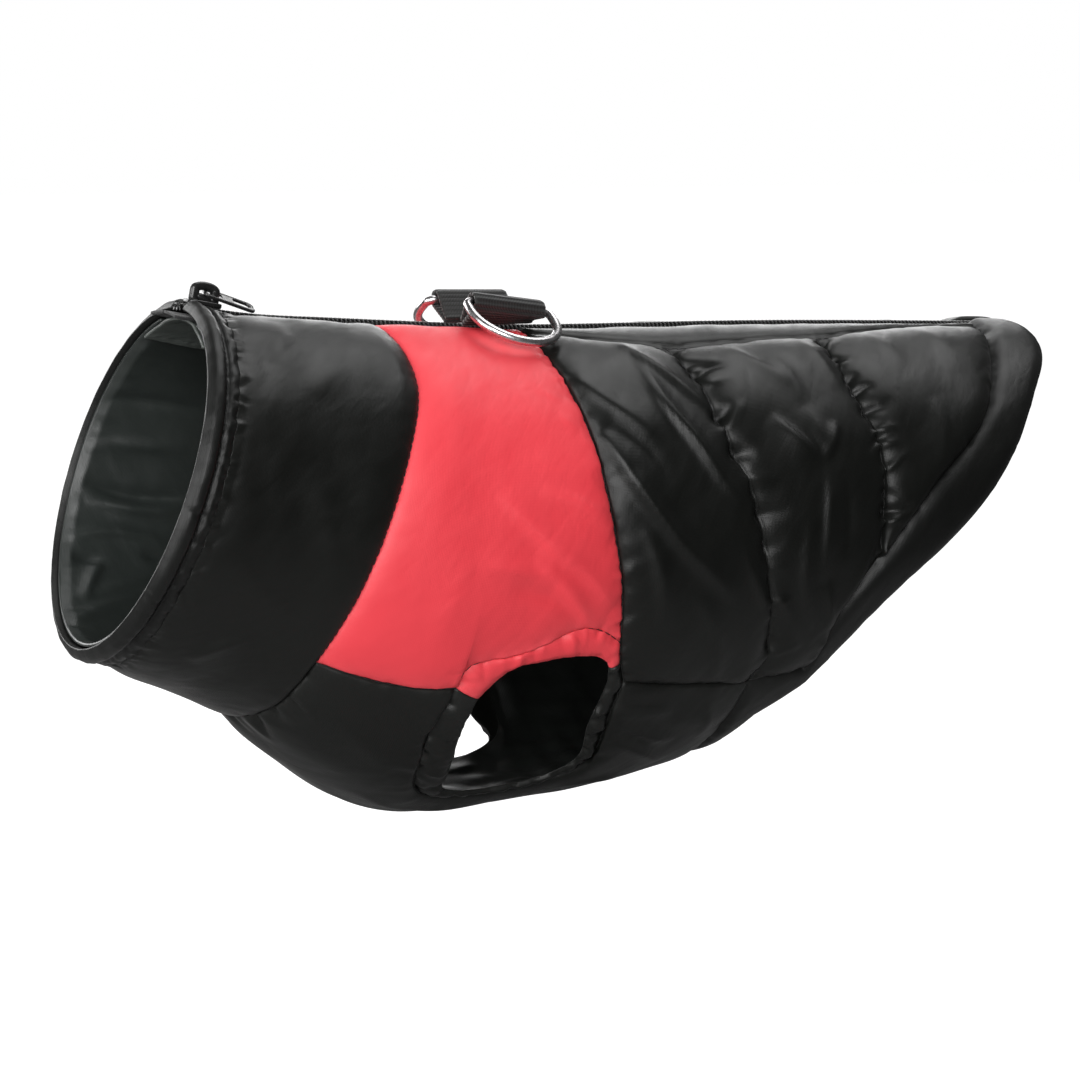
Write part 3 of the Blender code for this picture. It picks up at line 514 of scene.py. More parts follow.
# each row of an armhole hem: x and v on its free edge, then x and v on its seam
armholeRows = {
    "red": [(-14.0, 0.652, -20.6, 0.640), (-10.5, 0.624, -18.5, 0.606), (-6.4, 0.606, -12.0, 0.592),
            (-1.0, 0.601, -4.0, 0.581), (5.0, 0.597, 4.0, 0.565), (12.0, 0.597, 12.0, 0.557),
            (17.5, 0.603, 18.5, 0.569), (20.0, 0.612, 22.6, 0.584)],
    "redEnd": [(20.0, 0.612, 22.6, 0.584), (20.8, 0.620, 24.0, 0.614)],
    "blackRear": [(20.8, 0.620, 24.0, 0.614), (21.6, 0.642, 26.5, 0.647)],
    "black": [(21.6, 0.642, 26.5, 0.647), (20.6, 0.680, 25.4, 0.685), (20.0, 0.722, 25.4, 0.730),
              (21.6, 0.768, 25.8, 0.790), (21.2, 0.810, 22.5, 0.834), (15.2, 0.841, 14.5, 0.857),
              (5.5, 0.859, 5.0, 0.874), (-4.0, 0.864, -6.0, 0.881), (-11.0, 0.850, -15.5, 0.868),
              (-13.2, 0.806, -20.2, 0.824), (-14.6, 0.750, -22.0, 0.760), (-15.2, 0.697, -22.6, 0.700),
              (-14.0, 0.652, -20.6, 0.640)],
}


def spline(knots, values, at):
    # natural cubic, straight on beyond its ends
    knots = np.asarray(knots, float)
    values = np.asarray(values, float)
    at = np.asarray(at, float)
    count = len(knots)
    step = np.diff(knots)
    matrix = np.eye(count)
    right = np.zeros(count)
    for i in range(1, count - 1):
        matrix[i, i - 1:i + 2] = step[i - 1], 2 * (step[i - 1] + step[i]), step[i]
        right[i] = 6 * ((values[i + 1] - values[i]) / step[i] - (values[i] - values[i - 1]) / step[i - 1])
    bend = np.linalg.solve(matrix, right)
    i = np.clip(np.searchsorted(knots, at) - 1, 0, count - 2)
    a = (knots[i + 1] - at) / step[i]
    b = (at - knots[i]) / step[i]
    curve = ((a ** 3 - a) * bend[i] + (b ** 3 - b) * bend[i + 1]) * step[i] ** 2 / 6
    return a * values[i] + b * values[i + 1] + curve


def formValue(column, x):
    return spline(bodyForm["xZip"], bodyForm[column], x)


def innerSurface(x, v):
    x, v = np.broadcast_arrays(np.asarray(x, float), np.asarray(v, float))
    across = formValue("halfWidth", x) * (1 + formValue("egg", x) * np.cos(np.pi * v))
    down = (1 - np.cos(np.pi * v)) / 2
    zZip = formValue("zZip", x)
    z = zZip + (formValue("zBelly", x) - zZip) * down
    return np.stack([x + formValue("lean", x) * down, -across * np.sin(np.pi * v), z], -1)


def outward(x, v):
    stepX, stepV = 0.1, 0.001
    lengthways = innerSurface(x + stepX, v) - innerSurface(x - stepX, v)
    around = innerSurface(x, v + stepV) - innerSurface(x, v - stepV)
    normal = np.cross(around, lengthways)
    return normal / np.linalg.norm(normal, axis=-1, keepdims=True)


def atHeight(places, height):
    x, v = places[..., 0], places[..., 1]
    return innerSurface(x, v) + outward(x, v) * np.asarray(height)[..., None]


def besideZip(x, distance):
    reach = formValue("halfWidth", x) * (1 + formValue("egg", x))
    return np.arcsin(distance / reach) / np.pi


def flatten(places):
    # places as millimetres on the flat cloth
    return np.asarray(places, float) * [1.0, halfGirth]


def runLength(line):
    steps = np.linalg.norm(np.diff(line, axis=0), axis=1)
    return np.concatenate([[0.0], np.cumsum(steps)])


def measure(places):
    return runLength(flatten(places))


def pick(line, run, at):
    # points at given lengths along a line
    return np.stack([np.interp(at, run, line[:, k]) for k in range(2)], -1)


def along(places, fractions):
    places = np.asarray(places, float)
    length = measure(places)
    at = np.asarray(fractions) * length[-1]
    return np.stack([spline(length, places[:, k], at) for k in range(2)], -1)


def join(*runs):
    return np.concatenate([runs[0]] + [run[1:] for run in runs[1:]])


def even(count):
    return np.linspace(0.0, 1.0, count)


def spreadOut(s, t):
    # two runs of fractions as two grids
    return s[:, None] + 0 * t[None], t[None] + 0 * s[:, None]


def crowded(count, pull=0.82):
    # fractions from 0 to 1 that are closer together at both ends
    line = np.linspace(-1.0, 1.0, count)
    return 0.5 + 0.5 * (np.sin(line * np.pi / 2) * pull + line * (1 - pull))


def seamByV(name, start, end, fractions):
    v = start + (end - start) * np.asarray(fractions)
    rows = np.asarray(seams[name])
    return np.stack([spline(rows[:, 1], rows[:, 0], v), v], -1)


def seamByX(name, start, end, fractions):
    x = start + (end - start) * np.asarray(fractions)
    rows = np.asarray(seams[name])
    return np.stack([x, spline(rows[:, 0], rows[:, 1], x)], -1)


def zipEdge(start, end, fractions, distance=zipHalf):
    x = start + (end - start) * np.asarray(fractions)
    return np.stack([x, besideZip(x, distance)], -1)


def roundLine(x, start=0.04, end=1.0, count=120):
    # a line round the body, as far as the middle of the belly unless told otherwise
    return np.stack([np.full(count, x), np.linspace(start, end, count)], -1)


def zipStrip(ends, edges, rows, columns):
    # grid of places beside the zip, with the two fractions at each place
    x = ends[0] + (ends[1] - ends[0]) * even(rows)
    v = np.stack([besideZip(x, edges[0] + (edges[1] - edges[0]) * k) for k in even(columns)], -1)
    return np.stack([x[:, None] + 0 * v, v], -1), *spreadOut(even(rows), even(columns))


def fillPatch(top, bottom, front, rear):
    # grid of places between four seam lines, with the two fractions at each place
    s = (measure(top) / measure(top)[-1] + measure(bottom) / measure(bottom)[-1]) / 2
    t = (measure(front) / measure(front)[-1] + measure(rear) / measure(rear)[-1]) / 2
    s = s[:, None, None]
    t = t[None, :, None]
    across = (1 - t) * top[:, None] + t * bottom[:, None]
    down = (1 - s) * front[None] + s * rear[None]
    corners = (1 - s) * ((1 - t) * top[0] + t * bottom[0]) + s * ((1 - t) * top[-1] + t * bottom[-1])
    return across + down - corners, s[..., 0] + 0 * t[..., 0], t[..., 0] + 0 * s[..., 0]


def trimmed(grid, gap=seamGap):
    flat = flatten(grid)
    moved = flat.copy()
    for axis in range(2):
        rows = np.moveaxis(flat, axis, 0)
        target = np.moveaxis(moved, axis, 0)
        for edge, inside in ((0, 2), (-1, -3)):
            tangent = np.gradient(rows[edge], axis=0)
            normal = np.stack([-tangent[:, 1], tangent[:, 0]], -1)
            normal /= np.linalg.norm(normal, axis=-1, keepdims=True) + 1e-9
            inward = np.sign(((rows[inside] - rows[edge]) * normal).sum())
            target[edge] += normal * inward * gap
    return moved / [1.0, halfGirth]


def mirrored(grid):
    return grid * [1.0, -1.0] + [0.0, 2.0]


# on the right side the lower rear corner of the opening droops
droopedEdge = {3: (18.2, 0.772), 4: (21.0, 0.838), 5: (15.4, 0.856), 6: (5.5, 0.862)}


def hemLine(key, which, fractions, side="left"):
    first = 0 if which == "edge" else 2
    rows = [row[first:first + 2] for row in armholeRows[key]]
    if side == "right" and key == "black" and which == "edge":
        rows = [droopedEdge.get(k, row) for k, row in enumerate(rows)]
    return along(rows, fractions)


# Folds, gathers and puffs, as heights over the cloth

# the cloth is sewn down flat next to the teeth
besideTheZip = {"level": 1.5, "slope": 0.27, "crispness": 3.0, "girthShare": 0.9}


def fromZip(grid):
    # rough distance from the middle of the zip
    return np.minimum(grid[..., 1], 2 - grid[..., 1]) * halfGirth * besideTheZip["girthShare"]


def sewnDown(grid, height):
    crisp = besideTheZip["crispness"]
    away = fromZip(grid) - zipHalf
    lid = besideTheZip["level"] + besideTheZip["slope"] * np.maximum(away, 0.0)
    return lid - np.logaddexp(0.0, (lid - height) * crisp) / crisp


def easeOff(fraction, steepness):
    # 1 inside, down to 0 at both ends
    return np.minimum(1.0, steepness * np.minimum(fraction, 1 - fraction))


def puff(s, t, seam, full, sharpness):
    rise = (1 - np.abs(2 * s - 1) ** sharpness[0]) * (1 - np.abs(2 * t - 1) ** sharpness[1])
    return seam + (full - seam) * np.sqrt(np.maximum(rise, 0.0))


foldShape = {
    "reach": 3.2,     # a fold ends this many widths from its line
    "fade": {"both": 0.95, "end": 1.2},
    "ridge": (0.48, 1.6), "trough": (1.0, 2.0),     # roundness of the crest, 0 for sharp, and steepness
}


def addFold(flat, height, line, rise, width, skew=0.0, fade="both"):
    # line is in flat millimetres; skew makes the side to the left of its run the wider one
    reach = foldShape["reach"] * width * (1 + abs(skew))
    near = np.all((flat > line.min(0) - reach) & (flat < line.max(0) + reach), -1)
    points = flat[near]
    if not len(points):
        return
    start, step = line[:-1], np.diff(line, axis=0)
    offset = points[:, None] - start[None]
    part = np.clip((offset * step).sum(-1) / (step * step).sum(-1), 0.0, 1.0)
    gap = offset - part[..., None] * step
    distance = np.sqrt((gap ** 2).sum(-1))
    best = distance.argmin(1)
    rows = np.arange(len(points))
    turn = step[best, 0] * offset[rows, best, 1] - step[best, 1] * offset[rows, best, 0]
    share = (best + part[rows, best]) / len(step)
    strength = (np.sin(np.pi * share) if fade == "both" else 1 - share) ** foldShape["fade"][fade]
    spread = width * (1 + skew * np.sign(turn))
    away = distance[rows, best] / spread
    soft, steep = foldShape["ridge" if rise > 0 else "trough"]
    height[near] += rise * strength * np.exp(-(np.sqrt(away ** 2 + soft ** 2) - soft) * steep)


def addFolds(grid, height, folds, shift=0.0):
    # each fold: its places, how high, how wide, how skewed
    for points, rise, width, skew in folds:
        line = flatten(along(points, even(14))) + [shift, shift * 0.4]
        addFold(flatten(grid), height, line, rise, width, skew)


# how much the single gathers of a seam differ; the pairs are the least and the most
gatherSpread = {
    "first": (0.3, 1.0), "next": (0.55, 1.5), "lean": 0.35, "bend": 0.08, "overlap": 0.5,
    "length": (0.5, 1.4), "depth": (0.5, 1.3), "width": (0.7, 1.3), "troughs": 0.62, "ridgeHeight": 0.7,
}


def addGathers(grid, height, seam, into, seed, spacing, length, depth, width):
    # short troughs and ridges across a seam; into says which side, +1 left of its run
    spread = gatherSpread
    chance = np.random.default_rng(seed)
    line = flatten(seam)
    run = runLength(line)
    at = chance.uniform(*spread["first"]) * spacing
    flat = flatten(grid)
    while at < run[-1]:
        point = pick(line, run, at)
        ahead = pick(line, run, at + 0.5)
        tangent = (ahead - point) / max(np.linalg.norm(ahead - point), 1e-6)
        normal = np.array([-tangent[1], tangent[0]]) * into
        lean = tangent * chance.normal(0.0, spread["lean"])
        reach = length * chance.uniform(*spread["length"])
        end = point + (normal + lean) * reach
        bend = (point + end) / 2 + tangent * chance.normal(0.0, spread["bend"]) * reach
        start = point - normal * spread["overlap"]
        stroke = np.array([start, (point + bend) / 2, bend, (bend + end) / 2, end])
        sign = -1.0 if chance.uniform() < spread["troughs"] else spread["ridgeHeight"]
        addFold(flat, height, stroke, sign * depth * chance.uniform(*spread["depth"]),
                width * chance.uniform(*spread["width"]), fade="end")
        at += spacing * chance.uniform(*spread["next"])


def gatherSeams(grid, height, lines, gathers):
    # each row: seam, side, seed, then spacing, length, depth and width in millimetres
    for name, *settings in gathers:
        addGathers(grid, height, lines[name], *settings)


rippleSpread = {"waves": 16, "turn": 0.7, "size": (0.55, 1.7)}


def addRipple(grid, height, size, depth, seed, slant=0.6):
    # low waves that run every way, most of them near one slant
    spread = rippleSpread
    chance = np.random.default_rng(seed)
    flat = flatten(grid)
    total = np.zeros(flat.shape[:-1])
    for _ in range(spread["waves"]):
        angle = slant + chance.normal(0.0, spread["turn"])
        heading = np.array([math.cos(angle), math.sin(angle)])
        wave = size * chance.uniform(*spread["size"])
        total += np.sin(math.tau * (flat @ heading) / wave + chance.uniform(0.0, math.tau))
    height += depth * total / math.sqrt(spread["waves"] / 2)


# Solids

# nearer the zip than flatTo the lining lies flat, and over the next easeOver it comes loose
looseFolds = {
    "size": 16.0, "depth": 0.5, "slant": 0.2, "hang": 0.6, "least": 0.05, "steepness": 9,
    "flatTo": 13.0, "easeOver": 6.0,
}


def looseLining(grid, seed):
    # the inside face hangs in soft folds, flat again at its seams and beside the zip
    look = looseFolds
    rows, columns = grid.shape[:2]
    fold = np.zeros((rows, columns))
    addRipple(grid, fold, look["size"], look["depth"], seed, look["slant"])
    ease = easeOff(even(rows)[:, None], look["steepness"]) * easeOff(even(columns)[None], look["steepness"])
    loose = np.clip((fromZip(grid) - look["flatTo"]) / look["easeOver"], 0.0, 1.0)
    return -np.maximum(look["hang"] + fold, look["least"]) * ease * loose


def meshObject(name, points, quads, places=None, edge=None, slots=(), slotOf=None):
    # quads may hold triangles as rows that repeat their last corner
    mesh = bpy.data.meshes.new(name)
    points = np.asarray(points, float) * mm
    a, b, c, d = (points[quads[:, k]] for k in range(4))
    volume = (np.cross(a, b) * c).sum() + (np.cross(a, c) * d).sum()
    if volume < 0:
        quads = quads[:, ::-1]
    mesh.vertices.add(len(points))
    mesh.vertices.foreach_set("co", points.astype(np.float32).ravel())
    mesh.loops.add(len(quads) * 4)
    mesh.loops.foreach_set("vertex_index", quads.astype(np.int32).ravel())
    mesh.polygons.add(len(quads))
    mesh.polygons.foreach_set("loop_start", np.arange(0, len(quads) * 4, 4, dtype=np.int32))
    mesh.polygons.foreach_set("use_smooth", np.ones(len(quads), bool))
    if slotOf is not None:
        mesh.polygons.foreach_set("material_index", np.asarray(slotOf, np.int32))
    mesh.update(calc_edges=True)
    mesh.validate()
    if places is not None:
        spot = mesh.attributes.new("clothPlace", "FLOAT_VECTOR", "POINT")
        spot.data.foreach_set("vector", np.asarray(places, np.float32).ravel())
    if edge is not None:
        worn = mesh.attributes.new("clothEdge", "FLOAT", "POINT")
        worn.data.foreach_set("value", np.asarray(edge, np.float32).ravel())
    for slot in slots:
        mesh.materials.append(finishes[slot])
    thing = bpy.data.objects.new(name, mesh)
    bpy.context.scene.collection.objects.link(thing)
    return thing


def gridQuads(rows, columns, first=0):
    index = first + np.arange(rows * columns).reshape(rows, columns)
    return np.stack([index[:-1, :-1], index[1:, :-1], index[1:, 1:], index[:-1, 1:]], -1).reshape(-1, 4)


def clothSolid(name, outside, inside, places, edge, slots):
    # closed solid between two grids of points; the last slot is its inside face
    rows, columns = outside.shape[:2]
    count = rows * columns
    index = np.arange(count).reshape(rows, columns)
    rim = np.concatenate([index[0, :], index[1:, -1], index[-1, -2::-1], index[-2:0:-1, 0]])
    after = np.roll(rim, -1)
    top = gridQuads(rows, columns)
    sides = np.stack([rim, after, after + count, rim + count], -1)
    quads = np.concatenate([top, top[:, ::-1] + count, sides])
    slotOf = np.zeros(len(quads), int)
    slotOf[len(top):2 * len(top)] = len(slots) - 1
    points = np.concatenate([outside.reshape(-1, 3), inside.reshape(-1, 3)])
    flat = np.concatenate([flatten(places).reshape(-1, 2)] * 2)
    flat = np.concatenate([flat, np.zeros((len(flat), 1))], 1)
    return meshObject(name, points, quads, flat, np.concatenate([edge.ravel()] * 2), slots, slotOf)


def edgeWear(s, t, reach=0.03):
    near = np.minimum(np.minimum(s, 1 - s), np.minimum(t, 1 - t))
    return np.exp(-near / reach)


def dress(thing, body, node):
    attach(thing, body)
    if node:
        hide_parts(node)
    return thing


leastThick = 0.35


def clothPiece(name, grid, outside, inside, edge, slots, node, side="left"):
    out = atHeight(grid, np.maximum(outside, inside + leastThick))
    back = atHeight(grid, inside)
    if side == "right":
        out = out * [1, -1, 1]
        back = back * [1, -1, 1]
    return dress(clothSolid(name, out, back, grid, edge, slots), "coat", node)


def tube(points, radius, sides, closed=False, flat=1.0):
    # round wire through points, as (points, quads); flat squeezes it along its second direction
    points = np.asarray(points, float)
    count = len(points)
    ahead = np.roll(points, -1, 0) - np.roll(points, 1, 0)
    if not closed:
        ahead[0] = points[1] - points[0]
        ahead[-1] = points[-1] - points[-2]
    ahead /= np.linalg.norm(ahead, axis=1, keepdims=True)
    first = np.cross(ahead[0], [0.0, 0.0, 1.0])
    if np.linalg.norm(first) < 0.1:
        first = np.cross(ahead[0], [0.0, 1.0, 0.0])
    frames = []
    for direction in ahead:
        first = first - direction * (first @ direction)
        first /= np.linalg.norm(first)
        frames.append(first)
    frames = np.array(frames)
    second = np.cross(ahead, frames)
    turn = math.tau * np.arange(sides) / sides
    radius = np.broadcast_to(radius, count)
    ring = (np.cos(turn)[None, :, None] * frames[:, None]
            + flat * np.sin(turn)[None, :, None] * second[:, None])
    rings = points[:, None] + ring * radius[:, None, None]
    index = np.arange(count * sides).reshape(count, sides)
    nextRing = np.roll(index, -1, 0) if closed else index[1:]
    here = index if closed else index[:-1]
    quads = np.stack([here, np.roll(here, -1, 1), np.roll(nextRing, -1, 1), nextRing], -1).reshape(-1, 4)
    made = rings.reshape(-1, 3)
    if not closed:
        caps = []
        half = sides // 2
        for end in (0, count - 1):
            loop = index[end]
            for k in range(half - 1):
                caps.append([loop[k], loop[k + 1], loop[sides - 2 - k], loop[sides - 1 - k]])
        caps = np.array(caps)
        caps[half - 1:] = caps[half - 1:, ::-1]
        quads = np.concatenate([quads, caps])
    return made, quads


def joinParts(parts):
    points, quads, first = [], [], 0
    for made, faces in parts:
        points.append(made)
        quads.append(faces + first)
        first += len(made)
    return np.concatenate(points), np.concatenate(quads)


def sewAlong(line, level, pitch, side, thread="blackThread", start=0.0, end=1.0):
    # sews one stretch of a seam, from one fraction of its length to another
    run = measure(line) / measure(line)[-1]
    part = line[(run >= start) & (run <= end)]
    stitches[thread] += stitchRow(part, level, pitch, side)


# each stitch is a small arch that dips into the cloth at its ends
stitchArch = {
    "radius": 0.15, "sides": 6, "lift": 0.22,
    "along": [0.06, 0.25, 0.5, 0.75, 0.94],
    "rise": [-1.2, 0.3, 0.7, 0.3, -1.2],
}


def stitchRow(places, level, pitch, side):
    look = stitchArch
    run = measure(places)
    parts = []
    count = int(run[-1] / pitch)
    levels = level + look["lift"] * np.array(look["rise"])
    for k in range(count):
        at = (k + np.array(look["along"])) * run[-1] / count
        points = atHeight(pick(places, run, at), levels)
        if side == "right":
            points = points * [1, -1, 1]
        parts.append(tube(points, look["radius"], look["sides"]))
    return parts


stitches = {"blackThread": [], "redThread": []}


# Collar: one padded band from the rim binding to the yokes, open at the zip

collarCloth = {
    "grid": (62, 340), "crowding": 0.25,
    "seam": 1.1, "full": 4.3, "sharpness": (3.0, 30.0),
    "rim": (2.7, 4.0, -40.0),     # least height at the rim, and how it changes with s and s squared
    "rightShift": 1.5,
    "gathers": [("rim", -1, 11, 2.5, 4.2, 0.85, 0.8), ("rear", 1, 12, 5.5, 4.0, 0.3, 1.2),
                ("zip", 1, 13, 9.0, 7.0, 1.2, 2.0)],
    "folds": [
        ([(-80, 0.100), (-82, 0.180), (-86, 0.230)], 0.7, 4.4, 0.2),
        ([(-62, 0.215), (-70, 0.263), (-74, 0.288)], 0.5, 4.0, 0.0),
        ([(-84, 0.800), (-78, 0.738), (-69, 0.700)], 1.5, 3.2, 0.4),
        ([(-89, 0.150), (-88, 0.247), (-89, 0.307)], -0.5, 3.2, 0.0),
        ([(-60, 0.120), (-56, 0.190), (-55, 0.260)], 0.35, 4.5, 0.0),
        ([(-48, 0.100), (-45, 0.203), (-46, 0.300)], 0.5, 3.0, 0.0),
        ([(-90, 0.560), (-76, 0.620), (-60, 0.650)], 0.5, 5.0, 0.3),
        ([(-72, 0.420), (-62, 0.500), (-54, 0.560)], 0.35, 5.0, 0.0),
        ([(-88, 0.400), (-84, 0.480), (-82, 0.560)], -0.35, 4.0, 0.0),
    ],
    "cut": (0.34, 0.062, 0.0188),
}


def makeCollar():
    look = collarCloth
    rows, columns = look["grid"]
    s = crowded(rows)
    v = crowded(columns, look["crowding"])
    startX = neckX + rimBand
    edgeFront = besideZip(startX, zipHalf)
    edgeRear = besideZip(seams["collar"][0][0], zipHalf)
    edge = edgeFront + (edgeRear - edgeFront) * s
    roundV = edge[:, None] + (2 - 2 * edge)[:, None] * v[None]
    line = np.asarray(seams["collar"])
    seamX = spline(line[:, 1], line[:, 0], np.minimum(roundV, 2 - roundV))
    grid = trimmed(np.stack([startX + (seamX - startX) * s[:, None], roundV], -1))
    s, t = spreadOut(s, v)
    height = puff(s, t, look["seam"], look["full"], look["sharpness"])
    level, slope, curve = look["rim"]
    height = sewnDown(grid, np.maximum(height, level + slope * s + curve * s ** 2))
    lines = {
        "rim": roundLine(startX),
        "rear": seamByV("collar", 0.04, 1.0, even(120)),
        "zip": zipEdge(-95.0, -46.0, even(30), 6.0),
    }
    for half, shift in ((grid, 0.0), (mirrored(grid), look["rightShift"])):
        addFolds(half, height, look["folds"], shift)
        gatherSeams(half, height, lines, look["gathers"])
    addRipple(grid, height, 26.0, 0.09, 5)
    thing = clothPiece("collarCloth", grid, height, 0 * height, edgeWear(s, t),
                       ["blackNylon", "satinLining"], "collar")


# Rim binding and hem binding: cloth turned over an edge, as a rounded roll

bindingRoll = {
    "across": [0.0, 0.12, 0.38, 0.68, 0.90, 1.0],
    "outside": [0.9, 2.9, 4.1, 3.9, 2.7, 1.2],
    "inside": [0.0, 0.0, 0.0, 0.0, 0.3, 0.7],
}
rimRoll = {
    "across": [0.0, 0.10, 0.22, 0.31, 0.38, 0.48, 0.66, 0.86, 1.0],
    "outside": [2.7, 3.0, 3.1, 2.7, 1.9, 3.3, 4.1, 3.3, 1.2],
    "inside": [0.0, 0.0, 0.0, 0.0, 0.0, 0.0, 0.0, 0.2, 0.7],
}
armRoll = {
    "across": [0.0, 0.18, 0.55, 0.86, 1.0],
    "outside": [0.9, 1.9, 2.4, 1.9, 1.0],
    "inside": [0.0, 0.0, 0.0, 0.2, 0.5],
}


def rolledCloth(name, seam, edge, roll, slots, node, shape, side="left", rows=22, fullness=1.0):
    across = crowded(rows, 0.9)
    grid = trimmed((1 - across)[:, None, None] * seam[None] + across[:, None, None] * edge[None])
    outside = spline(roll["across"], roll["outside"], across)[:, None] * fullness + 0 * grid[..., 0]
    inside = np.maximum(spline(roll["across"], roll["inside"], across), 0.0)[:, None] + 0 * grid[..., 0]
    shape(grid, outside)
    s, t = spreadOut(across, even(grid.shape[1]))
    return clothPiece(name, grid, outside, inside, edgeWear(s, t, 0.12), slots, node, side)


rimBinding = {
    "columns": 380,
    "groove": 5.95,     # where the stitched groove runs, from the rim's edge
    "joins": (0.52, 0.69, 1.31, 1.47, 1.67),     # where the binding was pieced or pinched
    "joinFold": (-0.9, 0.7, 0.3),
    "gathers": [("seam", 1, 11, 2.5, 2.6, 0.85, 0.8), ("groove", 1, 24, 3.4, 3.0, 0.35, 0.8)],
    "cut": (0.0135, 0.33),
}


def makeRimBinding():
    look = rimBinding
    runs = []
    for x in (neckX + rimBand, neckX):
        edge = besideZip(x, zipHalf)
        v = edge + (2 - 2 * edge) * even(look["columns"])
        runs.append(np.stack([np.full_like(v, x), v], -1))
    seam, rim = runs

    def shape(grid, outside):
        lines = {"seam": roundLine(neckX + rimBand), "groove": roundLine(neckX + look["groove"])}
        for half in (grid, mirrored(grid)):
            gatherSeams(half, outside, lines, look["gathers"])
        for v in look["joins"]:
            cross = np.array([(neckX - 0.5, v), (neckX + 5.0, v + 0.004), (neckX + rimBand, v + 0.002)])
            addFold(flatten(grid), outside, flatten(along(cross, even(8))), *look["joinFold"])
        addRipple(grid, outside, 9.0, 0.08, 22)

    thing = rolledCloth("rimBinding", seam, rim, rimRoll, ["hemNylon"], "collar_binding", shape)
    for side in ("left", "right"):
        sewAlong(roundLine(neckX + look["groove"], 0.05, 1.0, 160), 2.0, 2.7, side)


hemBinding = {
    "sideCount": 210, "cornerCount": 22, "bellyCount": 50,
    "bellyFullness": 0.65, "bellyFrom": (0.58, 0.12),     # where it begins in v, and over how much
    "cut": (0.028, 0.50, 0.0087),
}


def hemRuns():
    look = hemBinding
    runs = []
    for names in (("hem", "hemCorner", "hemBelly"), ("edge", "edgeCorner", "edgeBelly")):
        counts = (look["sideCount"], look["cornerCount"], look["bellyCount"])
        run = join(*[along(seams[name], even(count)) for name, count in zip(names, counts)])
        runs.append(np.concatenate([run, mirrored(run)[-2::-1]]))
    return runs


def makeHemBinding():
    seam, edge = hemRuns()
    half = len(seam) // 2 + 1
    begin, over = hemBinding["bellyFrom"]
    belly = np.clip((np.minimum(seam[:, 1], 2 - seam[:, 1]) - begin) / over, 0.0, 1.0)
    fullness = 1.0 - (1.0 - hemBinding["bellyFullness"]) * belly

    def shape(grid, outside):
        for part, seed in ((grid, 31), (mirrored(grid), 32)):
            addGathers(part, outside, seam[:half], 1, seed, 6.0, 5.0, 0.45, 1.1)
            addGathers(part, outside, edge[:half], -1, seed + 5, 9.0, 6.0, 0.35, 1.3)
        addRipple(grid, outside, 16.0, 0.12, 33)

    thing = rolledCloth("hemBinding", seam, edge, bindingRoll, ["hemNylon"], "hem_binding", shape,
                        rows=26, fullness=fullness)


# Yokes: the red panels

yokeCloth = {
    "grid": (84, 118),
    "seam": 1.1, "full": 4.0, "sharpness": (4.0, 6.0), "rightShift": 1.2,
    "gathers": [("rear", 1, 41, 2.8, 4.6, 0.9, 0.65), ("front", -1, 42, 3.4, 2.6, 0.35, 0.65),
                ("lower", -1, 43, 2.8, 3.0, 0.5, 0.65)],
    "folds": [
        ([(-19, 0.380), (-8.8, 0.419), (-2, 0.446), (7, 0.475), (18.5, 0.530)], 2.2, 3.0, -0.5),
        ([(-7, 0.376), (1.5, 0.390), (8.5, 0.405), (20, 0.440)], 1.3, 1.7, -0.4),
        ([(-5, 0.370), (9, 0.396), (18, 0.424)], 0.7, 1.1, -0.2),
        ([(-7.5, 0.462), (3.5, 0.503), (13, 0.558)], 1.7, 2.3, -0.45),
        ([(-23, 0.474), (-12.2, 0.476), (0, 0.488)], 1.1, 3.2, -0.3),
        ([(-24, 0.455), (-27, 0.521), (-29, 0.590)], 0.7, 5.0, 0.0),
        ([(-13, 0.498), (-2, 0.508), (8, 0.540), (12, 0.556)], -0.8, 1.9, 0.0),
        ([(-2, 0.220), (6, 0.242)], 0.35, 1.4, 0.0),
        ([(3, 0.265), (9, 0.288)], 0.35, 1.4, 0.0),
        ([(-28, 0.292), (-34, 0.400), (-40, 0.505)], 0.5, 7.0, 0.0),
        ([(-12, 0.330), (0, 0.345), (12, 0.372)], 0.35, 3.0, 0.2),
        ([(2, 0.075), (7, 0.110)], -0.7, 1.2, 0.0),
        ([(6, 0.056), (2, 0.085), (1, 0.12)], 0.7, 1.3, 0.3),
    ],
    "cut": (0.094, 0.135, 0.0088),
}


def makeYoke(side):
    look = yokeCloth
    across, downCount = look["grid"]
    down = crowded(downCount)
    count = across // 3
    lower = join(along(seams["chest"], even(count)), hemLine("red", "seam", even(across - count + 1)))
    top = zipEdge(seams["collar"][0][0], seams["shoulder"][0][0], measure(lower) / measure(lower)[-1])
    front = seamByV("collar", top[0, 1], lower[0, 1], down)
    rear = seamByV("shoulder", top[-1, 1], lower[-1, 1], down)
    top[0], top[-1], lower[0], lower[-1] = front[0], rear[0], front[-1], rear[-1]
    grid, s, t = fillPatch(top, lower, front, rear)
    grid = trimmed(grid)
    height = sewnDown(grid, puff(s, t, look["seam"], look["full"], look["sharpness"]))
    addFolds(grid, height, look["folds"], 0.0 if side == "left" else look["rightShift"])
    addFold(flatten(grid), height, flatten(redSeam()), armholeHem["flush"], armholeHem["flushWidth"])
    gatherSeams(grid, height, {"rear": rear, "front": front, "lower": lower}, look["gathers"])
    addRipple(grid, height, 22.0, 0.1, 44)
    thing = clothPiece("yoke" + side.capitalize(), grid, height, looseLining(grid, 45), edgeWear(s, t, 0.02),
                       ["redNylon", "shadedLining"], "yoke_" + side, side)
    for line in (rear, front, lower[:count]):
        sewAlong(line, 1.2, 2.8, side)


# Backs: three quilts and the narrow strip beside the zip

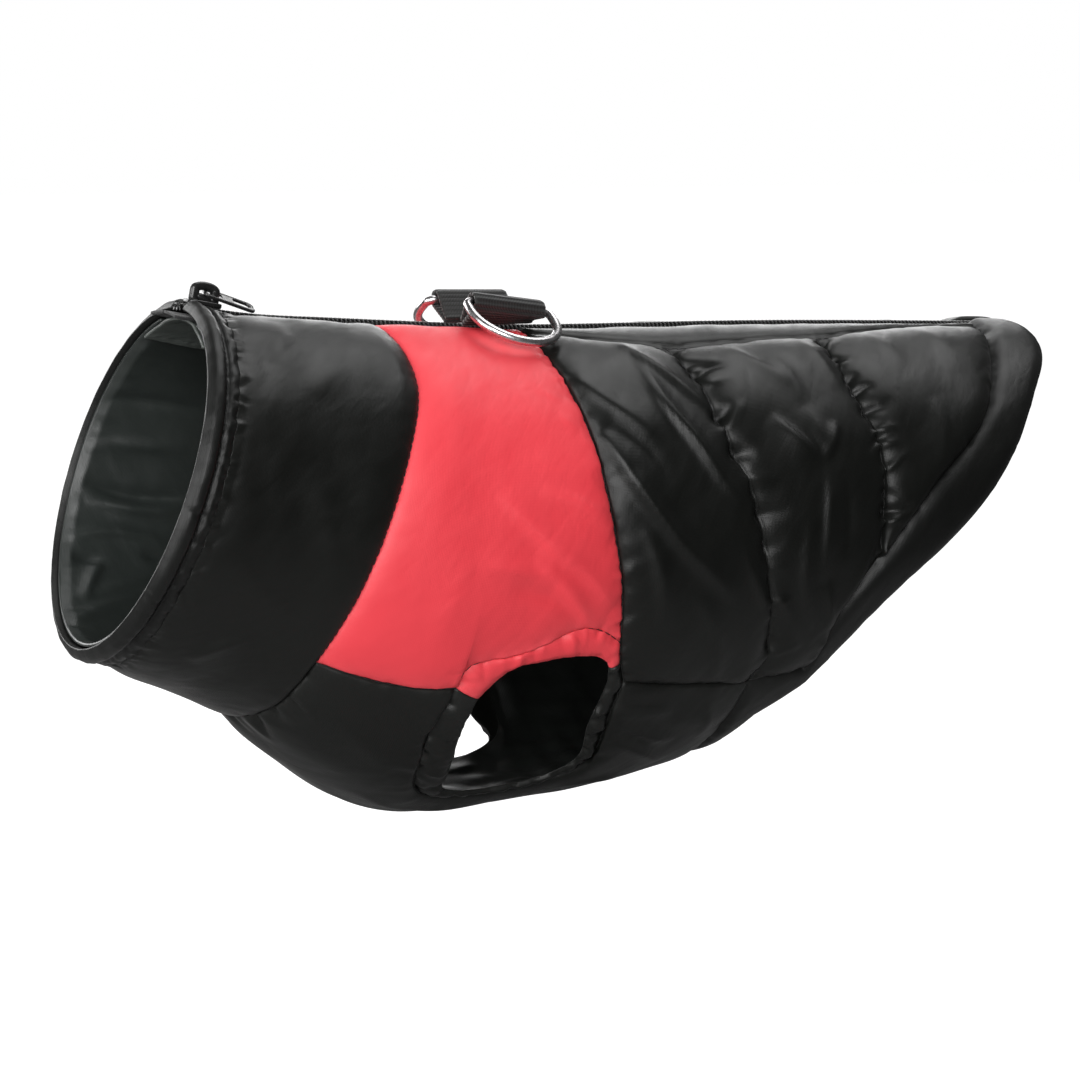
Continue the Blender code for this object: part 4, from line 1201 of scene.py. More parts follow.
backCloth = {
    "spans": [(7.5, 52.0, 46), (52.0, 111.5, 54), (111.5, 184.0, 58)],
    "down": 128, "stripRows": 12,
    "seam": 1.0, "full": 5.4, "sharpness": (3.6, 5.0), "rightShift": 1.6,
    "stripFull": 3.0, "stripGroove": (-0.7, 0.9), "stripEnd": 0.035, "quiltStep": 0.014,
    "gathers": [
        ("shoulder", -1, 51, 2.8, 4.5, 0.75, 0.7), ("shoulder", -1, 52, 12.0, 9.0, 0.6, 1.6),
        ("quiltOne", -1, 53, 7.5, 11.0, 2.3, 1.5), ("quiltOne", 1, 54, 9.0, 6.0, 0.8, 1.3),
        ("quiltTwo", -1, 55, 6.5, 9.0, 2.2, 1.4), ("quiltTwo", 1, 56, 9.0, 6.0, 0.8, 1.3),
        ("side", 1, 57, 5.0, 6.0, 0.5, 1.1), ("corner", 1, 58, 6.0, 6.0, 0.5, 1.1),
        ("hem", 1, 59, 6.5, 6.0, 0.5, 1.2),
    ],
    "stripGathers": [("strip", 1, 60, 9.0, 8.0, 0.5, 1.6), ("strip", -1, 61, 7.0, 4.0, 0.3, 1.2)],
    "folds": [
        ([(11, 0.262), (18, 0.323), (22, 0.362), (29, 0.408), (37, 0.455), (46, 0.495), (57, 0.545)],
         2.9, 3.3, -0.5),
        ([(10, 0.185), (16, 0.235), (24, 0.273), (33, 0.315)], 1.6, 3.4, -0.4),
        ([(36, 0.160), (37, 0.253), (42, 0.297), (47, 0.335), (52, 0.375), (61, 0.420)], 2.5, 3.0, -0.5),
        ([(33, 0.110), (36, 0.168), (42, 0.205), (48, 0.240), (56, 0.275)], 1.8, 2.6, -0.4),
        ([(25, 0.425), (30, 0.482), (34, 0.570)], 1.5, 2.8, -0.4),
        ([(59, 0.470), (65, 0.532), (73, 0.600)], 1.5, 2.6, -0.3),
        ([(42, 0.520), (52, 0.595), (57, 0.670)], 1.2, 3.0, -0.4),
        ([(15, 0.283), (23, 0.302), (30, 0.338), (34, 0.388)], -1.3, 2.8, 0.0),
        ([(24, 0.370), (33, 0.405), (42, 0.450), (49, 0.480)], -1.0, 3.0, 0.0),
        ([(75, 0.290), (82, 0.330), (90, 0.368)], 2.0, 3.4, 0.72),
        ([(90, 0.368), (95, 0.345), (98, 0.315)], 1.7, 2.6, -0.72),
        ([(88, 0.280), (90, 0.320), (90, 0.356)], 0.9, 3.6, 0.0),
        ([(92, 0.374), (90, 0.443), (89, 0.545)], 1.3, 4.0, -0.6),
        ([(97, 0.385), (98, 0.450), (97, 0.520)], -1.0, 2.6, 0.0),
        ([(84, 0.440), (82, 0.527), (88, 0.620)], 1.3, 2.4, -0.3),
        ([(91, 0.545), (96, 0.630)], 1.2, 2.2, 0.2),
        ([(110, 0.490), (104, 0.560), (98, 0.612)], 1.4, 2.6, 0.2),
        ([(69, 0.525), (80, 0.603), (85, 0.652)], 1.3, 2.2, -0.3),
        ([(72, 0.145), (79, 0.198), (87, 0.243)], 1.0, 2.8, 0.3),
        ([(82, 0.175), (87, 0.228), (88, 0.280)], 0.8, 2.8, 0.0),
        ([(101, 0.130), (103, 0.200), (105, 0.260)], 0.8, 3.0, 0.0),
        ([(138, 0.290), (138, 0.375), (135, 0.420)], 0.9, 3.6, 0.0),
        ([(150, 0.100), (154, 0.180), (152, 0.250)], 0.7, 4.4, 0.0),
        ([(128, 0.120), (132, 0.190), (131, 0.240)], 0.6, 4.0, 0.0),
    ],
    "cut": (0.177, 0.144, 0.0196),
}


def makeBack(side):
    look = backCloth
    down = crowded(look["down"])
    stripRows = even(look["stripRows"])
    lengths = measure(seams["hem"]) / measure(seams["hem"])[-1]
    stripEnd, quiltTip, quiltEnd = look["stripEnd"], lengths[-3], lengths[-3] + look["quiltStep"]

    def quiltRear(start):
        run = seamByV("quiltRear", start, seams["quiltRear"][-1][1], down)
        tip = along(seams["hem"], quiltEnd) - run[-1]
        return run + tip * down[:, None] ** 3

    strips, quilts, heights, stripHeights, wears, seamLines = [], [], [], [], [], []
    for number, (start, end, count) in enumerate(look["spans"]):
        columns = crowded(count)
        zipLine = zipEdge(start, end, columns)
        line = seamByX("strip", start, end, columns)
        if number == 0:
            front = seamByV("shoulder", line[0, 1], seams["shoulder"][-1][1], down)
            rear = seamByV("quiltFront", line[-1, 1], seams["quiltFront"][-1][1], down)
            bottom = along(seams["side"], columns)
        elif number == 1:
            front = seamByV("quiltFront", line[0, 1], seams["quiltFront"][-1][1], down)
            rear = quiltRear(line[-1, 1])
            part = count // 3
            corner = along(seams["hemCorner"], even(part))[::-1]
            hem = along(seams["hem"], quiltEnd + (1 - quiltEnd) * even(count - part + 1))[::-1]
            bottom = join(corner, hem)
        else:
            front = quiltRear(line[0, 1])
            rear = along(seams["hem"], stripEnd + (quiltTip - stripEnd) * down)
            bottom = front[-1] + (rear[-1] - front[-1]) * columns[:, None]
        front[0], line[-1], bottom[0], bottom[-1] = line[0], rear[0], front[-1], rear[-1]
        seamLines.append((front, rear, bottom, line))
        grid, s, t = fillPatch(line, bottom, front, rear)
        height = puff(s, t, look["seam"], look["full"], look["sharpness"])
        strip = zipLine[:, None] + (line - zipLine)[:, None] * stripRows[None, :, None]
        rise = np.sqrt(1 - np.abs(2 * stripRows - 1) ** 3)
        stripHeight = look["seam"] + (look["stripFull"] - look["seam"]) * rise
        keep = slice(0 if number == 0 else 1, None)
        quilts.append(grid[keep])
        strips.append(strip[keep])
        heights.append(height[keep])
        stripHeights.append((stripHeight[None] + 0 * strip[..., 0])[keep])
        wears.append(edgeWear(s, t, 0.02)[keep])
    quilt = np.concatenate(quilts)
    strip = np.concatenate(strips)
    grid = trimmed(np.concatenate([strip, quilt[:, 1:]], axis=1))
    height = np.concatenate([np.concatenate(stripHeights), np.concatenate(heights)[:, 1:]], axis=1)
    wear = np.concatenate([np.zeros(strip.shape[:2]) + 0.2, np.concatenate(wears)[:, 1:]], axis=1)
    height = sewnDown(grid, height)
    addFolds(grid, height, look["folds"], 0.0 if side == "left" else look["rightShift"])
    lines = {
        "shoulder": seamLines[0][0], "quiltOne": seamLines[0][1], "quiltTwo": seamLines[1][1],
        "side": seamLines[0][2], "corner": seamLines[1][2], "hem": seamLines[2][1],
        "strip": join(*[run[3] for run in seamLines]),
    }
    gatherSeams(grid, height, lines, look["gathers"])
    addFold(flatten(grid), height, flatten(lines["strip"]), *look["stripGroove"])
    gatherSeams(grid, height, lines, look["stripGathers"])
    addRipple(grid, height, 24.0, 0.16, 62 if side == "left" else 63)
    thing = clothPiece("back" + side.capitalize(), grid, height, looseLining(grid, 64), wear,
                       ["blackNylon", "shadedLining"], "back_" + side, side)
    for name in ("quiltOne", "quiltTwo", "strip"):
        sewAlong(lines[name], 0.95, 3.2, side)


# Underside: chest, the bridge between the armholes, and belly

undersideCloth = {
    "side": (34, 110, 40), "rows": 62,
    "middle": (-58.0, -37.0, 41.0, 69.0),     # along the belly: neck, front and rear of the armholes, hem
    "seam": 1.1, "full": 4.0, "bridge": 2.8, "bridgeAt": (0.47, 0.16),
    "gathers": [
        ("chest", 1, 71, 3.2, 4.0, 0.4, 0.9), ("armhole", 1, 72, 5.0, 7.0, 0.55, 1.4),
        ("side", 1, 73, 5.0, 6.0, 0.5, 1.2), ("front", -1, 74, 6.5, 8.0, 0.8, 1.5),
        ("rear", 1, 75, 6.0, 6.0, 0.5, 1.2),
    ],
    "folds": [
        ([(-57, 0.825), (-51, 0.862)], -1.6, 1.4, 0.0),
        ([(-57, 0.885), (-50, 0.915)], -1.6, 1.4, 0.0),
        ([(-55, 0.788), (-48, 0.797)], -1.2, 1.3, 0.0),
        ([(-46, 0.733), (-36, 0.768), (-25, 0.800)], 1.2, 6.0, 0.0),
        ([(-34, 0.680), (-26, 0.723), (-20, 0.785)], -1.0, 4.0, 0.0),
        ([(27, 0.665), (34, 0.655), (44, 0.668)], -1.3, 1.8, 0.0),
        ([(26, 0.708), (36, 0.743), (50, 0.780)], 1.8, 2.4, 0.4),
        ([(25, 0.735), (40, 0.790), (52, 0.850)], 1.8, 2.6, 0.4),
        ([(26, 0.690), (36, 0.700), (46, 0.712)], 1.5, 2.0, 0.3),
        ([(27, 0.722), (35, 0.750), (42, 0.770)], -1.2, 2.0, 0.0),
        ([(32, 0.700), (54, 0.745), (70, 0.770)], 0.9, 5.0, 0.0),
        ([(56, 0.715), (60, 0.750), (60, 0.800)], 1.0, 2.6, 0.0),
        ([(20, 0.880), (32, 0.870), (44, 0.890)], 1.0, 3.0, 0.2),
        ([(-30, 0.900), (-10, 0.930), (6, 0.940)], 1.0, 3.5, 0.0),
        ([(-40, 0.960), (-20, 0.985), (0, 0.97)], 0.7, 4.0, 0.0),
    ],
    "cut": (0.173, 0.140, 0.0163),
}


def makeUnderside():
    look = undersideCloth
    frontCount, holeCount, rearCount = look["side"]
    hole = hemLine("black", "seam", even(holeCount))[::-1]
    sideLine = join(along(seams["chest"], even(frontCount)), hole, along(seams["side"], even(rearCount)))
    spans = zip(look["middle"][:-1], look["middle"][1:], look["side"])
    middleX = join(*[np.linspace(start, end, count) for start, end, count in spans])
    middle = np.stack([middleX, np.ones_like(middleX)], -1)
    down = 1 - (1 - even(look["rows"])) ** 1.25
    front = seamByV("collar", seams["chest"][0][1], 1.0, down)
    rear = along(seams["hemBelly"], down)
    front[0], rear[0], middle[0], middle[-1] = sideLine[0], sideLine[-1], front[-1], rear[-1]
    grid, s, t = fillPatch(sideLine, middle, front, rear)
    edge = 1 - (1 - t) ** 5
    ends = 1 - np.abs(2 * s - 1) ** 8
    narrow = np.exp(-((s - look["bridgeAt"][0]) / look["bridgeAt"][1]) ** 2)
    full = look["full"] + (look["bridge"] - look["full"]) * narrow
    height = look["seam"] + (full - look["seam"]) * np.sqrt(edge * ends)
    addFolds(grid, height, look["folds"])
    lines = {
        "chest": sideLine[:frontCount], "armhole": sideLine[frontCount:frontCount + holeCount],
        "side": sideLine[-rearCount:], "front": front, "rear": rear,
    }
    gatherSeams(grid, height, lines, look["gathers"])
    wear = edgeWear(s, np.minimum(t, 0.5), 0.02)
    grid = np.concatenate([grid, mirrored(grid)[:, -2::-1]], axis=1)
    height = np.concatenate([height, height[:, -2::-1]], axis=1)
    wear = np.concatenate([wear, wear[:, -2::-1]], axis=1)
    addRipple(grid, height, 24.0, 0.16, 76)
    grid = trimmed(grid)
    thing = clothPiece("undersideCloth", grid, height, looseLining(grid, 77), wear,
                       ["blackNylon", "shadedLining"], "underside")


# Armhole hems: red over the front and top, black round the rest

armholeHem = {
    "rows": 18, "redCount": 90, "blackCount": 170, "endCount": 8, "rightShift": 0.8,
    "flush": 1.0, "flushWidth": 1.3,     # rise and width of the swell that levels the red seam
    "blackSewing": (0.18, 0.68),     # the red hem is sewn in black before and after these fractions
    "folds": [
        ([(20.2, 0.708), (26.0, 0.699)], -1.3, 0.9, 0.0),
        ([(20.1, 0.720), (26.0, 0.724)], 1.1, 1.0, 0.3),
        ([(20.4, 0.741), (26.0, 0.738)], -1.1, 1.0, 0.0),
        ([(20.9, 0.772), (26.4, 0.790)], 1.0, 1.2, 0.3),
        ([(21.2, 0.800), (24.5, 0.826)], -0.9, 1.0, 0.0),
        ([(-13.4, 0.800), (-21.0, 0.792)], 0.9, 1.4, 0.3),
        ([(-14.8, 0.735), (-22.4, 0.722)], -1.0, 1.3, 0.0),
        ([(-14.2, 0.690), (-21.5, 0.668)], 0.8, 1.4, 0.3),
        ([(-6.0, 0.860), (-9.5, 0.884)], -0.9, 1.3, 0.0),
        ([(8.0, 0.857), (12.0, 0.873)], 0.9, 1.5, 0.3),
    ],
    "redGathers": [("seam", 1, 81, 3.5, 5.0, 0.7, 0.8), ("edge", -1, 82, 2.8, 2.4, 0.5, 0.6),
                   ("seam", 1, 83, 14.0, 9.0, -0.9, 1.4)],
    "blackGathers": [("seam", 1, 84, 4.2, 6.0, 0.6, 1.0), ("edge", -1, 85, 4.0, 5.0, 0.7, 0.8),
                     ("seam", -1, 86, 4.2, 6.0, 0.9, 0.9), ("edge", 1, 87, 4.0, 5.0, 0.7, 0.8)],
    "cutRed": (0.0103, 0.069, 0.00054), "cutBlack": (0.010, 0.153, 0.00105),
}


def redSeam():
    # the stretch of the red hem's seam that lies flush with the yoke
    return hemLine("red", "seam", np.linspace(*armholeHem["blackSewing"], 40))


def makeArmholeHem(side):
    look = armholeHem
    name = side.capitalize()
    ends = even(look["endCount"])
    red, black = {}, {}
    for which in ("seam", "edge"):
        red[which] = join(hemLine("red", which, even(look["redCount"])), hemLine("redEnd", which, ends))
        black[which] = join(hemLine("blackRear", which, ends),
                            hemLine("black", which, even(look["blackCount"]), side))

    def redShape(grid, outside):
        addFold(flatten(grid), outside, flatten(redSeam()), look["flush"], look["flushWidth"])
        gatherSeams(grid, outside, red, look["redGathers"])

    def blackShape(grid, outside):
        addFolds(grid, outside, look["folds"], 0.0 if side == "left" else look["rightShift"])
        gatherSeams(grid, outside, black, look["blackGathers"])

    thing = rolledCloth("armholeRed" + name, red["seam"], red["edge"], armRoll, ["redNylon"],
                        "armhole_red_" + side, redShape, side, look["rows"])
    thing = rolledCloth("armholeBlack" + name, black["seam"], black["edge"], armRoll, ["blackNylon"],
                        "armhole_black_" + side, blackShape, side, look["rows"])
    sewAlong(black["seam"], 1.15, 2.8, side)
    sewAlong(red["seam"], 1.2, 2.4, side, end=look["blackSewing"][0])
    sewAlong(red["seam"], 1.2, 2.4, side, start=look["blackSewing"][1])
    sewAlong(red["seam"], 1.2, 2.4, side, "redThread", *look["blackSewing"])


# Inside the neck: satin lining and the facing beside the zip

collarLining = {
    "grid": (46, 250),
    "near": -0.55, "far": -1.45,
    "ends": (-105.0, -62.0), "side": 0.098,
    "slack": 1.3, "depth": 1.6, "crowding": 0.5, "ease": (9.0, 30.0),
    "folds": [
        ([(-103, 1.470), (-90, 1.459), (-66, 1.486)], -1.4, 2.0, 0.4),
        ([(-101, 1.434), (-86, 1.439), (-66, 1.461)], 1.3, 2.6, 0.0),
        ([(-102, 1.308), (-90, 1.321)], -1.0, 1.6, 0.0),
        ([(-80, 1.356), (-66, 1.366)], -0.9, 1.8, 0.0),
        ([(-98, 1.205), (-94, 1.290), (-91, 1.330)], 1.1, 1.8, 0.3),
        ([(-99, 1.213), (-85, 1.276), (-72, 1.322)], 0.9, 2.2, 0.3),
        ([(-103, 1.549), (-92, 1.559), (-72, 1.572)], 0.7, 2.6, 0.0),
        ([(-104, 1.346), (-91, 1.383), (-70, 1.390)], 1.0, 2.4, 0.2),
        ([(-104, 1.644), (-91, 1.657), (-72, 1.654)], -0.6, 2.4, 0.0),
        ([(-104, 1.113), (-95, 1.185), (-78, 1.270)], 0.8, 2.6, 0.0),
        ([(-103, 1.020), (-90, 1.060), (-74, 1.120)], -0.7, 2.4, 0.0),
        ([(-103, 0.900), (-90, 0.870), (-74, 0.840)], 0.9, 2.6, 0.2),
        ([(-103, 0.700), (-88, 0.690), (-72, 0.660)], -0.9, 2.2, 0.0),
        ([(-103, 0.560), (-88, 0.545), (-70, 0.540)], 1.0, 2.4, 0.2),
        ([(-103, 0.390), (-88, 0.400), (-70, 0.380)], -0.8, 2.2, 0.0),
    ],
    "cut": (0.045, 0.30),
}


def makeLining():
    look = collarLining
    rows, columns = look["grid"]
    x = look["ends"][0] + (look["ends"][1] - look["ends"][0]) * crowded(rows, look["crowding"])
    v = look["side"] + (2 - 2 * look["side"]) * even(columns)
    grid = np.stack(np.meshgrid(x, v, indexing="ij"), -1)
    fold = np.zeros(grid.shape[:2])
    addFolds(grid, fold, look["folds"])
    for start, end, seed in ((0.1, 1.0, 91), (1.0, 1.9, 92)):
        rim = roundLine(look["ends"][0], start, end, 90)
        addGathers(grid, fold, rim, -1, seed, 6.0, 9.0, 0.35, 1.6)
    near = np.full(grid.shape[:2], look["near"])
    s, t = spreadOut(even(rows), even(columns))
    ease = easeOff(s, look["ease"][0]) * easeOff(t, look["ease"][1])
    far = look["far"] - np.maximum(look["slack"] + look["depth"] * fold, -0.5) * ease
    thing = clothPiece("collarLining", grid, near, far, edgeWear(s, t), ["satinLining"], "collar_lining")


zipFacing = {
    "near": (-1.75, -2.35), "far": (-2.65, -3.15),     # beside the tape, and over the lining
    "grid": (70, 56), "edges": (1.4, 26.0), "ends": (-105.0, -60.0), "overFrom": (0.45, 0.15),
    "least": 0.3, "ease": 12, "stitched": (5.5, 10.5, 23.5), "stitchFold": (0.5, 0.6),
    "gathers": [("seam", 1, 95, 3.0, 3.0, 0.25, 0.7), ("seam", -1, 96, 3.0, 3.0, 0.25, 0.7)],
    "cut": (0.0246, 0.045),
}


def makeFacing(side):
    look = zipFacing
    grid, s, t = zipStrip(look["ends"], look["edges"], *look["grid"])
    over = np.clip((t - look["overFrom"][0]) / look["overFrom"][1], 0.0, 1.0)
    near = look["near"][0] + (look["near"][1] - look["near"][0]) * over
    far = look["far"][0] + (look["far"][1] - look["far"][0]) * over
    lump = np.zeros(s.shape)
    for distance in look["stitched"]:
        line = zipEdge(*look["ends"], even(20), distance)
        addFold(flatten(grid), lump, flatten(line), *look["stitchFold"])
        gatherSeams(grid, lump, {"seam": line}, look["gathers"])
    far = np.minimum(far + lump * easeOff(s, look["ease"]), near - look["least"])
    thing = clothPiece("zipFacing" + side.capitalize(), grid, near, far, edgeWear(s, t), ["paleFacingPaintedLight"],
                       "zip_facing_" + side, side)


# Zip: tapes, two rows of coils, slider with its bail and pull

zipTape = {
    "grid": (200, 12), "heights": (-1.35, -0.45), "edges": (0.25, 10.5), "ends": (-110.5, 205.0),
    "cut": (0.0103, 0.316),
}


def makeTapePiece(side):
    look = zipTape
    grid, s, t = zipStrip(look["ends"], look["edges"], *look["grid"])
    low, high = (np.full(s.shape, height) for height in look["heights"])
    thing = clothPiece("zipTape" + side.capitalize(), grid, high, low, edgeWear(s, t, 0.05), ["zipTapeCloth"],
                       "zip_tape_" + side, side)


zipCoil = {
    "ends": (-107.0, 201.5), "pitch": 1.5, "wire": 0.42, "half": 2.6, "low": 0.2, "high": 2.2,
    "core": (1.2, 1.0, 0.85),     # the core cords' distance from the middle, height and radius
    # one turn of the wire: how far ahead, out and up, as shares, and how swollen
    "arch": [(0.10, -0.55, 0.62), (0.0, -0.75, 0.95), (0.0, 0.10, 1.0), (0.06, 0.75, 0.86),
             (0.16, 1.0, 0.42), (0.20, 0.92, 0.05)],
    "swell": (0.9, 1.25, 1.05, 1.0, 1.0, 0.9), "over": 0.35,     # over: how far a turn goes past the middle
}


def makeCoil():
    look = zipCoil
    parts = []
    count = int((look["ends"][1] - look["ends"][0]) / look["pitch"])
    swell = np.array(look["swell"]) * look["wire"]
    for k in range(count):
        for sign in (-1, 1):
            x = look["ends"][0] + (k + 0.5 + 0.25 * sign) * look["pitch"]
            base = innerSurface(x, 0.0)
            points = []
            for ahead, out, up in look["arch"]:
                y = sign * look["half"] * (out if out > 0 else out * look["over"])
                z = look["low"] + (look["high"] - look["low"]) * up
                points.append(base + [ahead * look["pitch"], y, z])
            parts.append(tube(points, swell, 6))
    # the core cord that the coils are sewn round, one on each side
    x = np.linspace(*look["ends"], 140)
    out, up, radius = look["core"]
    for sign in (-1, 1):
        parts.append(tube(innerSurface(x, 0 * x) + [0.0, sign * out, up], radius, 8))
    points, quads = joinParts(parts)
    dress(meshObject("zipCoil", points, quads, slots=["nylonCoil"]), "coat", "zip_coil")


sliderShape = {
    "x": -98.6, "pitch": 11.0, "length": 11.5, "half": 4.2, "foot": 0.5, "under": 2.75, "top": 4.3,
    "bailWire": 1.9, "bailLength": 8.6, "bailRise": 5.2, "bailLift": 0.32, "bailCrown": 1.3,
    "pullPitch": 20.0, "pullRoll": 24.0, "pullLength": 17.2, "pullHalf": 2.9, "pullThick": 0.9,
    "pullBar": 1.1,
    "pullLoop": 5.6, "pullSlot": (9.6, 15.6), "pullRoom": 0.3,
    "bailSwell": (1.25, 1.05, 1.0), "bailBroad": 1.4,     # a strap, thicker towards its feet
    "cap": (3.3, 1.3, 0.7, 0.3),     # under the bail: half length, thickness, height and slope
    "pullOuter": (0.0, 16.7, 2.35, 1.9), "pullInner": (9.2, 16.0, 1.9, 1.5),     # rounded rims on the pull
}


def pitched(origin, degrees):
    angle = math.radians(degrees)
    level, rise = math.cos(angle), math.sin(angle)
    turn = np.array([[level, 0, rise], [0, 1, 0], [-rise, 0, level]])
    return lambda points: np.asarray(points, float) @ turn.T + np.asarray(origin, float)


def sliderPlace(pitch=sliderShape["pitch"], lift=(0.0, 0.0, 0.0)):
    base = innerSurface(sliderShape["x"], 0.0)
    return pitched(pitched(base, sliderShape["pitch"])([lift])[0], pitch)


def plateMesh(name, outlines, thick, bevel, place, finish):
    # flat plate with rounded edges from closed outlines; inner outlines are its holes
    curve = bpy.data.curves.new(name + "Outline", "CURVE")
    curve.dimensions = "2D"
    curve.fill_mode = "BOTH"
    curve.extrude = (thick / 2 - bevel) * mm
    curve.bevel_depth = bevel * mm
    curve.bevel_resolution = 3
    curve.offset = -bevel * mm
    for outline in outlines:
        run = curve.splines.new("POLY")
        run.points.add(len(outline) - 1)
        run.use_cyclic_u = True
        for slot, (x, y) in zip(run.points, outline):
            slot.co = (x * mm, y * mm, 0.0, 1.0)
    source = bpy.data.objects.new(name + "Outline", curve)
    bpy.context.scene.collection.objects.link(source)
    bpy.context.view_layer.update()
    mesh = bpy.data.meshes.new_from_object(source.evaluated_get(bpy.context.evaluated_depsgraph_get()))
    bpy.data.objects.remove(source)
    points = np.zeros(len(mesh.vertices) * 3)
    mesh.vertices.foreach_get("co", points)
    moved = place(points.reshape(-1, 3) / mm) * mm
    mesh.vertices.foreach_set("co", moved.ravel())
    mesh.materials.clear()
    mesh.materials.append(finishes[finish])
    mesh.update()
    thing = bpy.data.objects.new(name, mesh)
    bpy.context.scene.collection.objects.link(thing)
    return thing


def roundedLoop(start, end, half, radius, narrow=1.0):
    # outline of a plate with round corners; narrow is its far end's width over its near end's
    corners = [(end - radius, half * narrow - radius, 0), (start + radius, half - radius, 90),
               (start + radius, radius - half, 180), (end - radius, radius - half * narrow, 270)]
    points = []
    for x, y, angle in corners:
        for turn in range(0, 91, 15):
            around = math.radians(angle + turn)
            points.append((x + radius * math.cos(around), y + radius * math.sin(around)))
    return points


def makeSlider():
    look = sliderShape
    half = look["length"] / 2
    thick = look["top"] - look["under"]
    topPlate = plateMesh("zipSlider", [roundedLoop(-half, half, look["half"], 2.6, 0.8)], thick, 0.45,
                         sliderPlace(lift=(0, 0, (look["top"] + look["under"]) / 2)), "blackEnamel")
    dress(topPlate, "coat", "zip_slider")
    for sign in (-1, 1):
        points = []
        for k in even(12):
            inner = look["half"] - 0.45 - 0.8 * k ** 2
            x = -half + 1.0 + (look["length"] - 2.0) * k
            points.append((x, sign * inner, (look["foot"] + look["under"]) / 2))
        rim, quads = tube(sliderPlace()(points), 0.55, 8, flat=2.0)
        name = "sliderFlangeLeft" if sign < 0 else "sliderFlangeRight"
        dress(meshObject(name, rim, quads, slots=["blackEnamel"]), "coat", None)
    start = look["top"] - 0.3
    reach = look["bailLength"] / 2 - look["bailWire"] / 2
    crown = look["top"] + look["bailLift"] + look["bailRise"] - look["bailWire"] / 2
    bow = np.pi * even(25)
    arch = [(-reach * math.cos(a), 0.0, crown - look["bailCrown"] * (1 - math.sin(a))) for a in bow]
    legs = [[(x, 0.0, start), (x, 0.0, start + 1.2)] for x in (-reach, reach)]
    points = legs[0] + arch + legs[1][::-1]
    swell = np.interp(np.abs(np.linspace(-1, 1, len(points))), (0.0, 0.5, 1.0), look["bailSwell"][::-1])
    parts = [tube(sliderPlace()(points), look["bailWire"] / 2 * swell, 14, flat=look["bailBroad"])]
    length, thick, rise, slope = look["cap"]
    x = length * np.sin(np.pi / 2 * np.linspace(-1, 1, 15))
    cap = np.stack([x, 0 * x, look["top"] + rise - slope * x], -1)
    parts.append(tube(sliderPlace()(cap), thick * np.sqrt(1.02 - (x / length) ** 2), 16))
    bail, quads = joinParts(parts)
    dress(meshObject("sliderBail", bail, quads, slots=["blackEnamel"]), "coat", "slider_bail")
    height = look["top"] + look["bailLift"] + look["bailRise"] - look["bailWire"] - look["pullRoom"]
    height -= look["pullThick"] / 2
    outlines = [
        roundedLoop(-look["pullBar"] / 2, look["pullLength"], look["pullHalf"], 2.0),
        roundedLoop(look["pullBar"] / 2, look["pullLoop"], 1.75, 0.6),
        roundedLoop(*look["pullSlot"], 1.6, 1.2),
    ]
    lie = sliderPlace(look["pullPitch"], (0, 0, height))
    roll = math.radians(look["pullRoll"])
    turn = np.array([[1, 0, 0], [0, math.cos(roll), -math.sin(roll)], [0, math.sin(roll), math.cos(roll)]])

    def place(points):
        return lie(np.asarray(points, float) @ turn.T)

    pull = plateMesh("zipPull", outlines, look["pullThick"], 0.22, place, "blackEnamel")
    dress(pull, "pull", "zip_pull")
    parts = []
    for loop, radius in ((look["pullOuter"], 0.58), (look["pullInner"], 0.42)):
        line = [(x, y, 0.0) for x, y in roundedLoop(*loop)]
        parts.append(tube(place(line), radius, 10, closed=True))
    rim, quads = joinParts(parts)
    dress(meshObject("zipPullRim", rim, quads, slots=["blackEnamel"]), "pull", None)


# Webbing loops and D-rings

webbingLoop = {
    "width": 25.0, "thick": 1.35, "root": (5.9, 3.9), "barY": 13.2,
    "sides": {"left": (8.0, 9.0), "right": (1.5, 9.8)},     # how far the loop leans, and its bar's height
    "wire": 2.6, "ribPitch": 1.55, "ribHeight": 0.13, "grid": (150, 40),
    "clear": 0.62, "spread": 0.55,     # from the ring's wire, and between the two ends over the thickness
    "selvedge": (0.35, 0.5),           # how much thinner the edges are, and how far in that reaches
    "cut": (0.025, 0.029),
}


